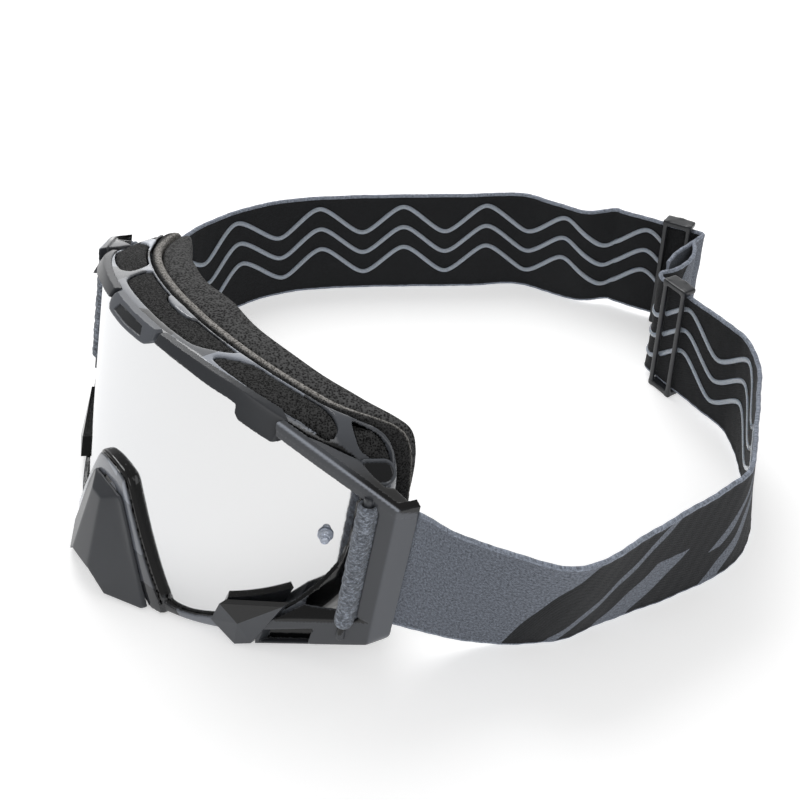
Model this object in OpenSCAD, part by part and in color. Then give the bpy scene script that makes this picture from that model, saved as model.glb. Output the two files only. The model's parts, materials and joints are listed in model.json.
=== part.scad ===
// Motocross goggles with a cylindrical lens, hinged strap outriggers, a clip-on nose guard
// and a two-slider elastic strap, at rest on a table with the strap standing behind them.
// Goggle pieces are drawn upright: X across the face, Y towards the face, Z up, with the origin
// at the bottom of the nose guard's front edge. resting() then leans them back onto the table.
// Strap pieces are drawn in table coordinates with the same origin. Last, everything is moved so
// that the origin lies under the middle of the whole.

/* [Lens and frame] */
// Outside radius of the cylindrical lens
lens_r = 88; // [86:1:90]
// Thickness of the lens
lens_t = 1.2; // [1:0.1:1.6]
// How far the frame stands in front of the lens
rim_proud = 2; // [1.8:0.1:2.2]
// How far the lens reaches under the rim on each side
lens_grip = 2; // [1.5:0.1:2.1]
// Thickness of the frame's walls
wall = 2.2; // [1.8:0.1:2.4]
// Depth of the frame at the middle of the brow
frame_depth = 20; // [19:0.5:21]

/* [Face foam] */
// Thickness of the dense base layer
base_t = 7; // [6:0.5:8]
// Thickness of the soft core layer
core_t = 7; // [6:0.5:8]
// Thickness of the fleece that touches the face
fleece_t = 2; // [1.5:0.25:2.5]

/* [Outriggers] */
// Thickness of the outrigger's shell
shell_t = 2.5; // [2:0.25:2.75]
// Radius of the hinge stubs
stub_r = 1.2; // [1.1:0.05:1.3]
// Radial play of a stub in its lug
stub_play = 0.05; // [0.03:0.01:0.08]
// Radius of the bar that the strap is sewn around
strap_bar_r = 1.4; // [1.2:0.1:1.5]

/* [Strap] */
// Width of the strap
strap_w = 45; // [44:0.5:46]
// Thickness of the strap
strap_t = 1.6; // [1.4:0.1:1.8]
// Height of the silicone grip beads
bead_h = 0.5; // [0.4:0.1:0.6]
// Width of a grip bead
bead_w = 2; // [1.6:0.2:2.4]

/* [Posts] */
// Radius of a tear-off post
post_r = 2; // [1.8:0.1:2.2]
// Length of a tear-off post in front of its flange
post_len = 3.4; // [3:0.1:4]

/* [Pose] */
// Angle that the goggles lean back at rest
lean = 13.2; // [13:0.1:13.4]
// Height of the origin above the table
rest_h = 9; // [9:0.25:10]

/* [Hidden] */
$fn = 96;
middle_of_all = [6.94, 135.725];     // middle of the whole in plan, in table coordinates

gap = 0.12;                          // clearance between pieces that only touch
lens_y = 12;                         // front of the lens on the centre line
lens_c = lens_y + lens_r;            // the lens's axis stands here, behind the face
rim_y = lens_y - rim_proud;          // front of the frame on the centre line
back_r = 95;                         // radius of the frame's back edge in plan
back_c = rim_y + frame_depth + back_r;
reach = 110;                         // longer than any piece, for through cuts

// ---- plain helpers -------------------------------------------------------------------------

function unit(v) = v / norm(v);
function turn_right(v) = [v[1], -v[0]];
function swap_side(p) = [-p[0], p[1]];

// A closed outline from its right half, listed from the top centre to the bottom centre
function both_sides(half) =
    concat(half, [for (i = [len(half) - 2 : -1 : 1]) swap_side(half[i])]);

// One round of corner cutting on a closed outline
function soften(p) = [
    for (i = [0 : len(p) - 1], t = [0.25, 0.75])
        p[i] * (1 - t) + p[(i + 1) % len(p)] * t
];

// A clockwise outline moved inwards by d, with mitred corners
function inset(p, d) = [
    for (i = [0 : len(p) - 1])
        let (before = unit(p[i] - p[(i + len(p) - 1) % len(p)]),
             after = unit(p[(i + 1) % len(p)] - p[i]),
             n1 = turn_right(before),
             n2 = turn_right(after))
        p[i] + (n1 + n2) * d / (1 + n1 * n2)
];

// A smooth open curve through control rows of any length, with n steps between rows
function curve_row(a, b, c, d, t) =
    (b * 2 + (c - a) * t + (a * 2 - b * 5 + c * 4 - d) * pow(t, 2)
     + (b * 3 - a - c * 3 + d) * pow(t, 3)) / 2;
function curve(rows, n) = concat(
    [for (i = [0 : len(rows) - 2], k = [0 : n - 1])
        curve_row(rows[max(i - 1, 0)], rows[i], rows[i + 1],
                  rows[min(i + 2, len(rows) - 1)], k / n)],
    [rows[len(rows) - 1]]);

// Upright goggle coordinates to their place on the table
module resting() {
    translate([0, 0, rest_h]) rotate([-lean, 0, 0]) children();
}

module mirrored(side) {
    if (side > 0) children();
    else mirror([1, 0, 0]) children();
}

// A front-view outline pushed back through the whole goggle
module front_cut(outline) {
    translate([0, reach, 0]) rotate([90, 0, 0]) linear_extrude(2 * reach) polygon(outline);
}

// Everything above the underside of the goggles, which rises towards the face
module above_underside(margin = 0) {
    translate([-reach, 14, -5.3 + margin]) rotate([15, 0, 0]) translate([0, -60, 0])
        cube([2 * reach, 200, 120]);
}

// The space between two upright cylinders, seen from above as a curved strip
module plan_band(front_r, front_c, inner_r, inner_c, low = -20, high = 100) {
    translate([0, 0, low]) linear_extrude(high - low)
        difference() {
            translate([0, front_c]) circle(front_r);
            translate([0, inner_c]) circle(inner_r);
            translate([-reach, lens_c]) square([2 * reach, 2 * reach]);
        }
}

// ---- outlines, seen from the front -------------------------------------------------------------

frame_half = [
    [0, 91.5], [18, 91.3], [45, 87.4], [59, 81.6], [72, 74.2], [78.6, 65], [79.6, 50],
    [78.4, 33], [71, 14], [60, 3], [46, -1.5], [34, -4.6], [25.5, -5.4], [21.5, 5],
    [15, 26], [9.5, 35], [0, 36.6]
];
opening_half = [
    [0, 87], [18, 86.8], [44, 83.2], [57, 77.8], [69, 71], [74.2, 63], [75, 50], [73.8, 35],
    [67, 18], [57.5, 8.4], [45, 3.4], [33, 0.4], [30.6, 1.6], [26, 15.4], [19.4, 31.4],
    [12.4, 40.2], [0, 41.4]
];
eye_half = [
    [0, 73], [40, 70.5], [60, 61], [65.5, 48], [62, 31], [48, 18], [30, 14], [22, 28],
    [14, 45], [0, 50]
];
frame_outline = soften(both_sides(frame_half));
opening = soften(both_sides(opening_half));
eye_outline = soften(both_sides(eye_half));

// ---- frame -------------------------------------------------------------------------------------

gasket_t = 0.8;
rim_back_r = lens_r - 3.6;           // back of the grooved rim
flange_t = 2;                        // flange that carries the foam
arch_proud = 3;                      // the nose arch stands this much in front of the rim

// Vent windows in the roof, as plan outlines on the right-hand half of the roof
window_centre = [[-22, 21.8], [-9, 19.4], [0, 19], [9, 19.4], [22, 21.8], [28.5, 29.5],
                 [17, 27.6], [9.5, 26.6], [6, 24.6], [-6, 24.6], [-9.5, 26.6], [-17, 27.6],
                 [-28.5, 29.5]];
window_side = [[30, 25.2], [38, 27.5], [50, 32.4], [61, 39.4], [62, 43.8], [53, 42.2],
               [37, 32.6]];
window_temple = [[65.8, 47.2], [70.6, 51.8], [72, 58.4], [66.8, 55.6]];
window_lower = [[44, 29], [58, 37.5], [56.5, 43.5], [43, 35]];

// A window or its foam, cut by plan outline through the roof or the floor of the frame
module roof_plug(outline, low, high, margin = 0) {
    translate([0, 0, low]) linear_extrude(high - low) polygon(inset_ccw(outline, margin));
}
function inset_ccw(p, d) = inset([for (i = [len(p) - 1 : -1 : 0]) p[i]], d);

module windows() {
    roof_plug(window_centre, 70, 100);
    for (side = [1, -1]) mirrored(side) {
        roof_plug(window_side, 60, 100);
        roof_plug(window_temple, 55, 100);
        roof_plug(window_lower, -20, 22);
    }
}

hinge = [58.3, 32.9];                // plan position of the outrigger's hinge axis
lug_r = 2.2;
lug_play = 0.3;                      // room between a lug and the outrigger around it
neck = [[53.5, 25.9], [56.5, 28.1], [58.9, 30.9], [57, 31.4], [56.1, 29.4], [53.5, 27.5]];
upper_lug = [78.6, 81.4];            // heights of the hinge lugs
lower_lug = [2.4, 5.4];

// A hinge lug with its bore, on a neck that reaches forward to the trim on the rim's front
module lug(span) {
    translate([0, 0, span[0]]) linear_extrude(span[1] - span[0])
        difference() {
            union() {
                translate(hinge) circle(lug_r);
                polygon(neck);
            }
            translate(hinge) circle(stub_r + stub_play);
        }
}

// The room that a lug and its neck take out of the pieces around them
module hinge_space(low, high, neck_play = gap) {
    translate([hinge[0], hinge[1], low]) cylinder(r = lug_r + lug_play, h = high - low);
    translate([0, 0, low]) linear_extrude(high - low) polygon(inset_ccw(neck, -neck_play));
}

// The rim around the nose stands further forward than the rest
module nose_arch() {
    intersection() {
        difference() {
            front_cut([[-32, -6], [-20, 41.2], [20, 41.2], [32, -6]]);
            front_cut(opening);
        }
        front_cut(frame_outline);
        plan_band(lens_r + rim_proud + arch_proud, lens_c, lens_r + rim_proud - 0.5, lens_c);
    }
}

module frame() {
    color([0.13, 0.14, 0.16]) resting()
        difference() {
            union() {
                intersection() {
                    front_cut(frame_outline);
                    plan_band(lens_r + rim_proud, lens_c, back_r, back_c);
                    above_underside();
                }
                nose_arch();
            }
            intersection() {
                front_cut(inset(frame_outline, wall));
                plan_band(rim_back_r, lens_c, back_r, back_c - flange_t);
                above_underside(wall);
            }
            intersection() {
                front_cut(opening);
                plan_band(lens_r + 9, lens_c, rim_back_r - 1, lens_c);
            }
            intersection() {
                front_cut(inset(eye_outline, -2));
                plan_band(lens_r - 6, lens_c, back_r, back_c + 1);
            }
            intersection() {
                front_cut(inset(opening, -lens_grip - 0.2));
                plan_band(lens_r + gap, lens_c, lens_r - lens_t - gasket_t - 3 * gap, lens_c);
            }
            windows();
            lug_notches();
        }
}

// ---- trim on the front of the frame --------------------------------------------------------

trim_r = lens_r + rim_proud;         // the trim lies on the frame's front face

// A strip on the frame's front, cut to a front-view outline
module on_front(outline, thickness) {
    intersection() {
        front_cut(outline);
        plan_band(trim_r + gap + thickness, lens_c, trim_r + gap, lens_c);
    }
}

plate_half = [[0, 91.2], [15.5, 91], [17.6, 88.6], [15.8, 86.9], [13.4, 86.4], [0, 86.2]];
trim_outline = [[18, 90.6], [27, 89.8], [45, 86.6], [56.6, 81.8], [56.6, 77.2], [48, 79.3],
                [46.4, 82.6], [43, 83.8], [26, 87.2], [18.2, 87.8]];
clip_outline = [[48.6, 5], [51, 10.6], [57, 7.6], [57, -0.8], [56, -1.4], [47, 0.5]];

module brow_plate() {
    color([0.35, 0.37, 0.41]) resting()
        on_front(both_sides(plate_half), 1.6);
}

// Each brow trim ends in the lug for the outrigger's upper hinge stub
module brow_trim(side) {
    color([0.12, 0.12, 0.13]) resting() mirrored(side) {
        on_front(trim_outline, 1.4);
        lug(upper_lug);
    }
}
module brow_trim_left() { brow_trim(1); }
module brow_trim_right() { brow_trim(-1); }

// Clip blocks on the frame's lower corners, with the lugs for the lower hinge stubs
module lower_clip(side) {
    color([0.16, 0.16, 0.17]) resting() mirrored(side) {
        on_front(clip_outline, 2.2);
        lug(lower_lug);
    }
}
module lower_clip_left() { lower_clip(1); }
module lower_clip_right() { lower_clip(-1); }

// Oval bosses on the temples, beside the outriggers' upper arms
module temple_cap(side) {
    cap_l = 7;
    cap_r = 3.1;
    color([0.14, 0.16, 0.19]) resting() mirrored(side)
        difference() {
            translate([76.8, 56.2, 69.6]) rotate([0, 52, 40])
                linear_extrude(2.2) union() {
                    translate([0, -cap_l / 2]) circle(cap_r);
                    translate([0, cap_l / 2]) circle(cap_r);
                    translate([-cap_r, -cap_l / 2]) square([2 * cap_r, cap_l]);
                }
            front_cut(inset(frame_outline, -gap));
        }
}
module temple_cap_left() { temple_cap(1); }
module temple_cap_right() { temple_cap(-1); }

// ---- lens, gasket and posts ------------------------------------------------------------------

post_x = 69.4;                       // posts stand on the lens at this distance from the centre
post_z = 45.8;
post_angle = asin(post_x / lens_r);
shank_r = 1.3;
flange_r = 2.9;

module at_post(side) {
    mirrored(side) translate([0, lens_c, post_z]) rotate([0, 0, post_angle]) translate([0, -lens_r, 0])
        rotate([90, 0, 0]) children();
}

// Room for the hinge lugs in the corners of the lens and its gasket
module lug_notches() {
    for (side = [1, -1]) mirrored(side) {
        hinge_space(upper_lug[0] - gap, 90);
        hinge_space(-5, lower_lug[1] + gap);
    }
}

module lens() {
    color([0.8, 0.83, 0.86, 0.9]) resting()
        difference() {
            intersection() {
                front_cut(inset(opening, -lens_grip));
                plan_band(lens_r, lens_c, lens_r - lens_t, lens_c);
            }
            for (side = [1, -1]) at_post(side) translate([0, 0, -4]) cylinder(r = shank_r + gap, h = 8);
            lug_notches();
        }
}

module lens_gasket() {
    front_of_gasket = lens_r - lens_t - gap;
    color([0.06, 0.06, 0.06]) resting()
        difference() {
            intersection() {
                front_cut(inset(opening, -lens_grip));
                plan_band(front_of_gasket, lens_c, front_of_gasket - gasket_t, lens_c);
            }
            front_cut(inset(opening, 0.3));
            lug_notches();
        }
}

// Each post is a flanged stud through the lens with a flat head behind it
module tear_off_posts() {
    color([0.75, 0.77, 0.8]) resting()
        for (side = [1, -1]) at_post(side) {
            translate([0, 0, gap]) cylinder(r = flange_r, h = 0.6);
            cylinder(r = post_r, h = gap + 0.6 + post_len);
            translate([0, 0, -lens_t - 1.4]) cylinder(r = shank_r, h = lens_t + 1.8);
            translate([0, 0, -lens_t - 1.8]) cylinder(r = flange_r, h = 1.2);
        }
}

// ---- vent foams --------------------------------------------------------------------------------

// Foam that fills a window, flush with the outside and as thick as the wall
module window_foam(outline, low, high) {
    color([0.05, 0.05, 0.05]) resting()
        intersection() {
            difference() {
                intersection() {
                    front_cut(inset(frame_outline, 0.5));
                    above_underside(0.5);
                }
                intersection() {
                    front_cut(inset(frame_outline, wall + 1));
                    above_underside(wall + 1);
                }
            }
            roof_plug(outline, low, high, 0.15);
        }
}
module vent_foam_centre() { window_foam(window_centre, 70, 100); }
module vent_foam_left() { window_foam(window_side, 60, 100); }
module vent_foam_right() { mirror([1, 0, 0]) window_foam(window_side, 60, 100); }
module vent_foam_temple_left() { window_foam(window_temple, 55, 100); }
module vent_foam_temple_right() { mirror([1, 0, 0]) window_foam(window_temple, 55, 100); }
module vent_foam_lower_left() { window_foam(window_lower, -20, 22); }
module vent_foam_lower_right() { mirror([1, 0, 0]) window_foam(window_lower, -20, 22); }

// ---- face foam ---------------------------------------------------------------------------------

// One layer of the face foam, from depth d0 to d1 behind the frame's back edge
module foam_layer(d0, d1, outer_inset, eye_margin) {
    difference() {
        intersection() {
            front_cut(inset(frame_outline, outer_inset));
            plan_band(back_r, back_c + d0 + gap, back_r, back_c + d1);
            above_underside(outer_inset);
        }
        front_cut(inset(eye_outline, -eye_margin));
    }
}
module face_foam_base() {
    color([0.32, 0.3, 0.28]) resting() foam_layer(0, base_t, 0.6, 0);
}
module face_foam_core() {
    color([0.2, 0.2, 0.2]) resting() foam_layer(base_t, base_t + core_t, 2, 1);
}
module face_fleece() {
    color([0.12, 0.12, 0.13]) resting()
        foam_layer(base_t + core_t, base_t + core_t + fleece_t, 3, 2);
}

// ---- nose guard --------------------------------------------------------------------------------

// Facets of the guard's right half, each point as [x, y, z]
guard_top = [1.8, 4.6, 32.2];
guard_shoulder = [10.5, 7.6, 30.2];
guard_front_top = [3.1, 4.4, 24.7];
guard_front_low = [5.5, 0, 0];
guard_low = [15, 0.9, -4.9];
guard_corner = [28, 8.6, -3.4];
guard_side_top = [13.6, 7.7, 27.6];

function mirror_x(p) = [-p[0], p[1], p[2]];

// The guard is a solid between its facets and a copy of them set back by its thickness
module guard_solid(set_back, shrink) {
    right = [guard_top, guard_shoulder, guard_front_top, guard_front_low, guard_low,
             guard_corner, guard_side_top];
    points = concat(right, [for (p = right) mirror_x(p)]);
    middle = [0, 0, 12];
    hull()
        for (p = points, back = [0, 20])
            translate(middle + (p - middle) * shrink + [0, set_back + (back == 0 ? 0 : 20 - p[1]), 0])
                cube(0.01, center = true);
}

guard_t = 2.2;
module nose_guard() {
    color([0.13, 0.13, 0.14]) resting()
        difference() {
            guard_solid(0, 1);
            guard_solid(guard_t, 0.88);
            plan_band(lens_r + rim_proud + arch_proud + 2 * gap, lens_c, lens_r / 3, lens_c, -30, 60);
        }
}

// ---- outriggers --------------------------------------------------------------------------------

arm_front = [57.7, 28.2];            // the shell's outside in plan: hinge end, corner and rear
arm_corner = [92.3, 50];
arm_rear = [92.9, 58.2];
slot_x = 87.7;                       // front edge of the rear bar
strap_bar = [84.6, 45.2];            // the strap's bar in plan, and its lower and upper ends
bar_low = 17;
bar_high = 71;
boss_h = 5;
arm_in = turn_right(unit(arm_front - arm_corner));

// The C-shaped shell, seen from the front
arm_outline = [
    [57.7, 83.2], [92.9, 69.2], [93.4, 20.6], [87.4, 13.4], [74.4, 7], [61.2, 0.6], [61.2, 9.6],
    [67.5, 17.6], [78.5, 21], [slot_x, 21.5], [slot_x, 66.6], [81.5, 68.8], [70, 73.2], [57.7, 78.2]
];
slot_window = [[63, 3.4], [63.8, 7], [74, 11.6], [73.4, 8.6]];

module arm_plan() {
    inner_corner = arm_corner + arm_in * shell_t + [-1.4, 0.6];
    difference() {
        polygon([arm_front, arm_corner, arm_rear, arm_rear + [-shell_t, 0], inner_corner,
                 arm_front + arm_in * shell_t]);
        translate([0, lens_c]) circle(lens_r + rim_proud + 0.5);
    }
}

// A flat plate from the shell to the hinge axis, above or below the lug
module hinge_plate(low) {
    translate([0, 0, low]) linear_extrude(plate_t)
        union() {
            translate(hinge) circle(stub_r + 0.7);
            polygon([hinge + [-1.2, -1.4], arm_front + [0.6, 1.2], arm_front + [6, 4.6], hinge + [1, 1.6]]);
        }
}

plate_t = 1.3;
stub_l = 2.9;
boss_r = 1.9;                        // bosses that hold the strap bar's ends
swing_play = 1.1;                    // room beside a lug's neck for the outrigger to swing

module outrigger(side) {
    color([0.14, 0.14, 0.15]) resting() mirrored(side) {
        difference() {
            intersection() {
                translate([0, 0, -20]) linear_extrude(120) arm_plan();
                front_cut(arm_outline);
            }
            front_cut(slot_window);
            hinge_space(upper_lug[0] - lug_play, upper_lug[1] + lug_play, swing_play);
            hinge_space(lower_lug[0] - lug_play, lower_lug[1] + lug_play, swing_play);
        }
        translate([strap_bar[0], strap_bar[1], bar_low]) cylinder(r = strap_bar_r, h = bar_high - bar_low);
        for (z = [bar_low, bar_high - boss_h])
            translate([strap_bar[0], strap_bar[1], z]) cylinder(r = boss_r, h = boss_h);
        hinge_plate(upper_lug[1] + lug_play);
        translate([hinge[0], hinge[1], upper_lug[1] + 1 - stub_l]) cylinder(r = stub_r, h = stub_l);
        hinge_plate(lower_lug[0] - lug_play - plate_t);
        translate([hinge[0], hinge[1], lower_lug[0] - 1]) cylinder(r = stub_r, h = stub_l);
    }
}
module outrigger_left() { outrigger(1); }
module outrigger_right() { outrigger(-1); }

// Sewn end of the strap: a loop around the bar with a double tail
tail_end = [88.2, 60.4];
loop_w = strap_w - 1.5;
module strap_loop(side) {
    loop_r = strap_bar_r + gap + strap_t;
    tail = [[82.2, 47], [85.2, 48], [85.9, 51.4], tail_end + [1, -0.4], tail_end + [-1.6, 0.6], [82.6, 51.6]];
    color([0.36, 0.4, 0.45]) resting() mirrored(side)
        translate([0, 0, (bar_low + bar_high - loop_w) / 2]) linear_extrude(loop_w)
            difference() {
                union() {
                    translate(strap_bar) circle(loop_r);
                    polygon(tail);
                }
                translate(strap_bar) circle(strap_bar_r + gap);
            }
}
module strap_loop_left() { strap_loop(1); }
module strap_loop_right() { strap_loop(-1); }

// ---- strap, beads and sliders, in table coordinates ------------------------------------------------

slide_lift = 2.6;                    // the sliders hold the strap this much above the table

// Each strap runs straight through its slider: where that run starts in plan, and its heading
left_start = [34.5, 233.8];
left_heading = -4.69;
right_start = [-14, 257.4];
right_heading = 23.2;
function on_run(start, heading, s) =
    [start[0] + s * cos(heading), start[1] + s * sin(heading), slide_lift, 0];

// Rows along a band: [x, y, height of the lower edge, outward lean of the upper edge]
left_rows = concat(
    [[95.2, 76.6, 6.5, 0], [103.5, 92, 0.8, 2], [111.6, 105, 0, 8.6], [115.4, 114, 0, 11],
     [117.4, 128, 0, 9.4], [122, 150, 0, 4.7], [124.4, 168, 0, 2], [124.4, 180, 0, 0],
     [119.6, 194, 0, -4.5], [106.5, 209.5, 0, -4], [89.5, 223, 0.6, 0], [78, 229.4, 2.2, 0],
     [70, 230.9, slide_lift, 0]],
    [for (s = [30, 18, 7, 0, -3.5]) on_run(left_start, left_heading, s)],
    [[28.4, 236.4, slide_lift, 0], [30.4, 244, slide_lift, 0], [29.4, 251, slide_lift, 0],
     [25.8, 256.4, slide_lift, 0]]);
right_rows = concat(
    [[-96.4, 76.6, 6.5, 0], [-104, 96, 1, 1], [-109, 115, 0, 3], [-109.6, 134, 0, 3],
     [-105, 152, 0, 3], [-94, 172, 0, 3], [-80, 193, 0, 3], [-64, 216, 0, 3], [-53, 234, 0, 2],
     [-40, 241, 0, 1], [-26, 247, 0.6, 0]],
    [for (s = [-4, 0, 12, 24, 30.5, 34]) on_run(right_start, right_heading, s)],
    [[19.6, 268.6, slide_lift, 0], [20.6, 260.4, slide_lift, 0], [21.6, 252, slide_lift, 0],
     [23.8, 245, slide_lift, 0]]);
strap_steps = 6;

function flat(v) = [v[0], v[1]];

// Unit vector along the row list at i, in plan
function along(rows, i) = unit(flat(rows[min(i + 1, len(rows) - 1)]) - flat(rows[max(i - 1, 0)]));

// A point on the band's section: h up the width, n outwards from the middle of its thickness
function band_point(rows, i, side, h, n) =
    let (r = rows[i],
         out = turn_right(along(rows, i)) * side,
         tilt = asin(r[3] / strap_w),
         reach_out = n * cos(tilt) + h * sin(tilt),
         lift = strap_t / 2 * abs(sin(tilt)))
    [r[0] + out[0] * reach_out, r[1] + out[1] * reach_out,
     max(r[2], 0) + lift + h * cos(tilt) - n * sin(tilt)];

// A four-sided section swept along the rows; section(i) gives [low h, high h, inner n, outer n]
module sweep_band(rows, side, sections) {
    count = len(rows);
    corners = [[0, 2], [1, 2], [1, 3], [0, 3]];
    points = [for (i = [0 : count - 1], c = corners)
        band_point(rows, i, side, sections[i][c[0]], sections[i][c[1]])];
    quads = concat(
        [[0, 1, 2, 3]],
        [for (i = [0 : count - 2], k = [0 : 3])
            [4 * i + k, 4 * i + 4 + k, 4 * i + 4 + (k + 1) % 4, 4 * i + (k + 1) % 4]],
        [[for (k = [3 : -1 : 0]) 4 * (count - 1) + k]]);
    polyhedron(points, side > 0 ? quads : [for (q = quads) [for (k = [len(q) - 1 : -1 : 0]) q[k]]]);
}

module strap_band(rows, side) {
    line = curve(rows, strap_steps);
    sweep_band(line, side, [for (r = line) [0, strap_w, -strap_t / 2, strap_t / 2]]);
}
module strap_left() { color([0.33, 0.36, 0.41]) strap_band(left_rows, 1); }
module strap_right() { color([0.33, 0.36, 0.41]) strap_band(right_rows, -1); }

// Length along the rows up to each row, in plan
function lengths(line) = [
    for (i = 0, s = 0; i < len(line);
         s = s + (i + 1 < len(line) ? norm(flat(line[i + 1]) - flat(line[i])) : 0), i = i + 1) s
];

// Three parallel wavy beads on the inner face, between two lengths along the band
bead_pitch = 9.6;
bead_wave = 5.6;                     // height of a wave above its mean line
bead_period = 36;                    // length of a wave
bead_lift = 0.3;                     // the beads clear the band's facets by this much
module grip_beads(rows, side, first, last) {
    line = curve(rows, strap_steps);
    length_to = lengths(line);
    part = [for (i = [0 : len(line) - 1]) if (length_to[i] >= first && length_to[i] <= last) i];
    inner = -strap_t / 2 - bead_lift;
    for (k = [-1, 0, 1])
        sweep_band([for (i = part) line[i]], side, [
            for (i = part)
                let (middle = strap_w / 2 + k * bead_pitch
                              + bead_wave * sin(length_to[i] * 360 / bead_period))
                [middle - bead_w / 2, middle + bead_w / 2, inner - bead_h, inner]]);
}
module grip_beads_left() { color([0.5, 0.53, 0.58]) grip_beads(left_rows, 1, 50, 172); }
module grip_beads_right() { color([0.5, 0.53, 0.58]) grip_beads(right_rows, -1, 36, 192); }

// A slider: two end plates joined by a middle bar outside the strap and two bars inside it
slider_len = 12;
slider_h = 50;
bar_w = 2.2;
bar_t = 1.6;
bar_play = 0.3;                      // between the strap and the middle bar
inner_play = bead_h + 0.4;           // between the strap and the inside bars
slider_at_left = 6.5;                // each slider's middle, as a length along its strap's run
slider_at_right = 24;
module slider(middle, heading) {
    end_h = (slider_h - strap_w) / 2 - 0.2;
    low_n = -strap_t / 2 - inner_play - bar_t;
    high_n = strap_t / 2 + bar_play + bar_t;
    color([0.16, 0.16, 0.17]) translate([middle[0], middle[1], 0]) rotate([0, 0, heading]) {
        for (z = [0, slider_h - end_h])
            translate([-slider_len / 2, low_n, z]) cube([slider_len, high_n - low_n, end_h]);
        translate([-bar_w / 2, high_n - bar_t, 0]) cube([bar_w, bar_t, slider_h]);
        for (x = [-slider_len / 2, slider_len / 2 - bar_w])
            translate([x, low_n, 0]) cube([bar_w, bar_t, slider_h]);
    }
}
module slider_left() { slider(on_run(left_start, left_heading, slider_at_left), left_heading); }
module slider_right() { slider(on_run(right_start, right_heading, slider_at_right), right_heading); }

// ---- drawing -------------------------------------------------------------------------------------

translate([-middle_of_all[0], -middle_of_all[1], 0]) {
    frame();
    brow_plate();
    brow_trim_left();
    brow_trim_right();
    lower_clip_left();
    lower_clip_right();
    temple_cap_left();
    temple_cap_right();
    lens();
    lens_gasket();
    tear_off_posts();
    vent_foam_centre();
    vent_foam_left();
    vent_foam_right();
    vent_foam_temple_left();
    vent_foam_temple_right();
    vent_foam_lower_left();
    vent_foam_lower_right();
    face_foam_base();
    face_foam_core();
    face_fleece();
    nose_guard();
    outrigger_left();
    outrigger_right();
    strap_loop_left();
    strap_loop_right();
    strap_left();
    strap_right();
    grip_beads_left();
    grip_beads_right();
    slider_left();
    slider_right();
}
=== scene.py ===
"""Looks for a pair of motocross goggles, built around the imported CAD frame.

Goggle pieces are shaped in upright goggle coordinates, in millimetres: X across the face,
Y towards the face, Z up, with the origin at the nose guard's front bottom edge. Strap pieces
are shaped in table coordinates, in millimetres. Rigid and padded pieces are solids described by
distance fields, meshed on a grid. Straps, beads and edges are swept along control rows.
"""

import json
import math

import bmesh
import bpy
import numpy as np
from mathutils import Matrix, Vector

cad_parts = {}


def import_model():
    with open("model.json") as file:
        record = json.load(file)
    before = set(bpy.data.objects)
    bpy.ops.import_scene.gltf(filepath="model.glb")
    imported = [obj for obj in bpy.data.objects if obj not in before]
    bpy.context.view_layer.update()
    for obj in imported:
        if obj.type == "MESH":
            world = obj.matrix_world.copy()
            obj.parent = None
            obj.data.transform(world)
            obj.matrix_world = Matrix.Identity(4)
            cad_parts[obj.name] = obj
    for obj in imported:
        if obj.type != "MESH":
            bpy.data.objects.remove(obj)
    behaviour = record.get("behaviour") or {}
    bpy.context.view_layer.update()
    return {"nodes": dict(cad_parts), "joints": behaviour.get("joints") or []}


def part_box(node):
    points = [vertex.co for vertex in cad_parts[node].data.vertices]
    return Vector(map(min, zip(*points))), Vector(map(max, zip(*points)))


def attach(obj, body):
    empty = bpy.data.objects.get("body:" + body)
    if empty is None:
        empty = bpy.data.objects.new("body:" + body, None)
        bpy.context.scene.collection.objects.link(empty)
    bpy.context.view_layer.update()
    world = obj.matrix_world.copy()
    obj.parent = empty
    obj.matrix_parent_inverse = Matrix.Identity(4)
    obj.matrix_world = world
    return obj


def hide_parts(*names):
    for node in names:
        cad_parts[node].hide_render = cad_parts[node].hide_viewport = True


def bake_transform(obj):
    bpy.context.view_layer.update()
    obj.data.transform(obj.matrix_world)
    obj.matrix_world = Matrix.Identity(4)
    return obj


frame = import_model()

MM = 0.001
REST_LIFT = 9.0  # height of the goggles' origin above the table
JOINTS = {joint["name"]: joint for joint in frame["joints"]}
HINGE_AXIS = JOINTS["outrigger_left_hinge"]["axis"]
LEAN = math.atan2(-HINGE_AXIS[1], -HINGE_AXIS[2])
SIDES = {"left": 1, "right": -1}

LENS_AXIS = 100.0  # the lens's cylinder stands here, behind the face
LENS_R = 88.0
RIM_R = 90.0  # front of the rim around the lens
ARCH_R = 91.4  # front of the nose arch
BACK_R = 95.0  # back edge of the frame in plan
BACK_AXIS = 125.0
WALL = 2.2
FAR = 60.0  # further out than any outline reaches
CENTRE = np.array([6.94, 135.725, 0.0])  # the row's origin, in table coordinates


# ---- placing ----

def to_table(points):
    """Upright goggle coordinates in mm to the row frame in metres."""
    x, y, z = np.moveaxis(np.asarray(points, float), -1, 0)
    cos, sin = math.cos(LEAN), math.sin(LEAN)
    return (np.stack([x, y * cos + z * sin, z * cos - y * sin + REST_LIFT], -1) - CENTRE) * MM


def turned_to_table(vectors):
    """Directions in upright goggle coordinates to the row frame."""
    return (to_table(vectors) - to_table(np.zeros(3))) / MM


# ---- outlines and fields ----

def smooth_line(rows, steps=5):
    """A smooth curve through control rows of any length."""
    rows = np.asarray(rows, float)
    padded = np.concatenate([rows[:1] * 2 - rows[1:2], rows, rows[-1:] * 2 - rows[-2:-1]])
    out = []
    for a, b, c, d in zip(padded, padded[1:], padded[2:], padded[3:]):
        for t in np.arange(steps) / steps:
            out.append((b * 2 + (c - a) * t + (a * 2 - b * 5 + c * 4 - d) * t ** 2
                        + (b * 3 - a - c * 3 + d) * t ** 3) / 2)
    return np.array(out + [rows[-1]])


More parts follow.
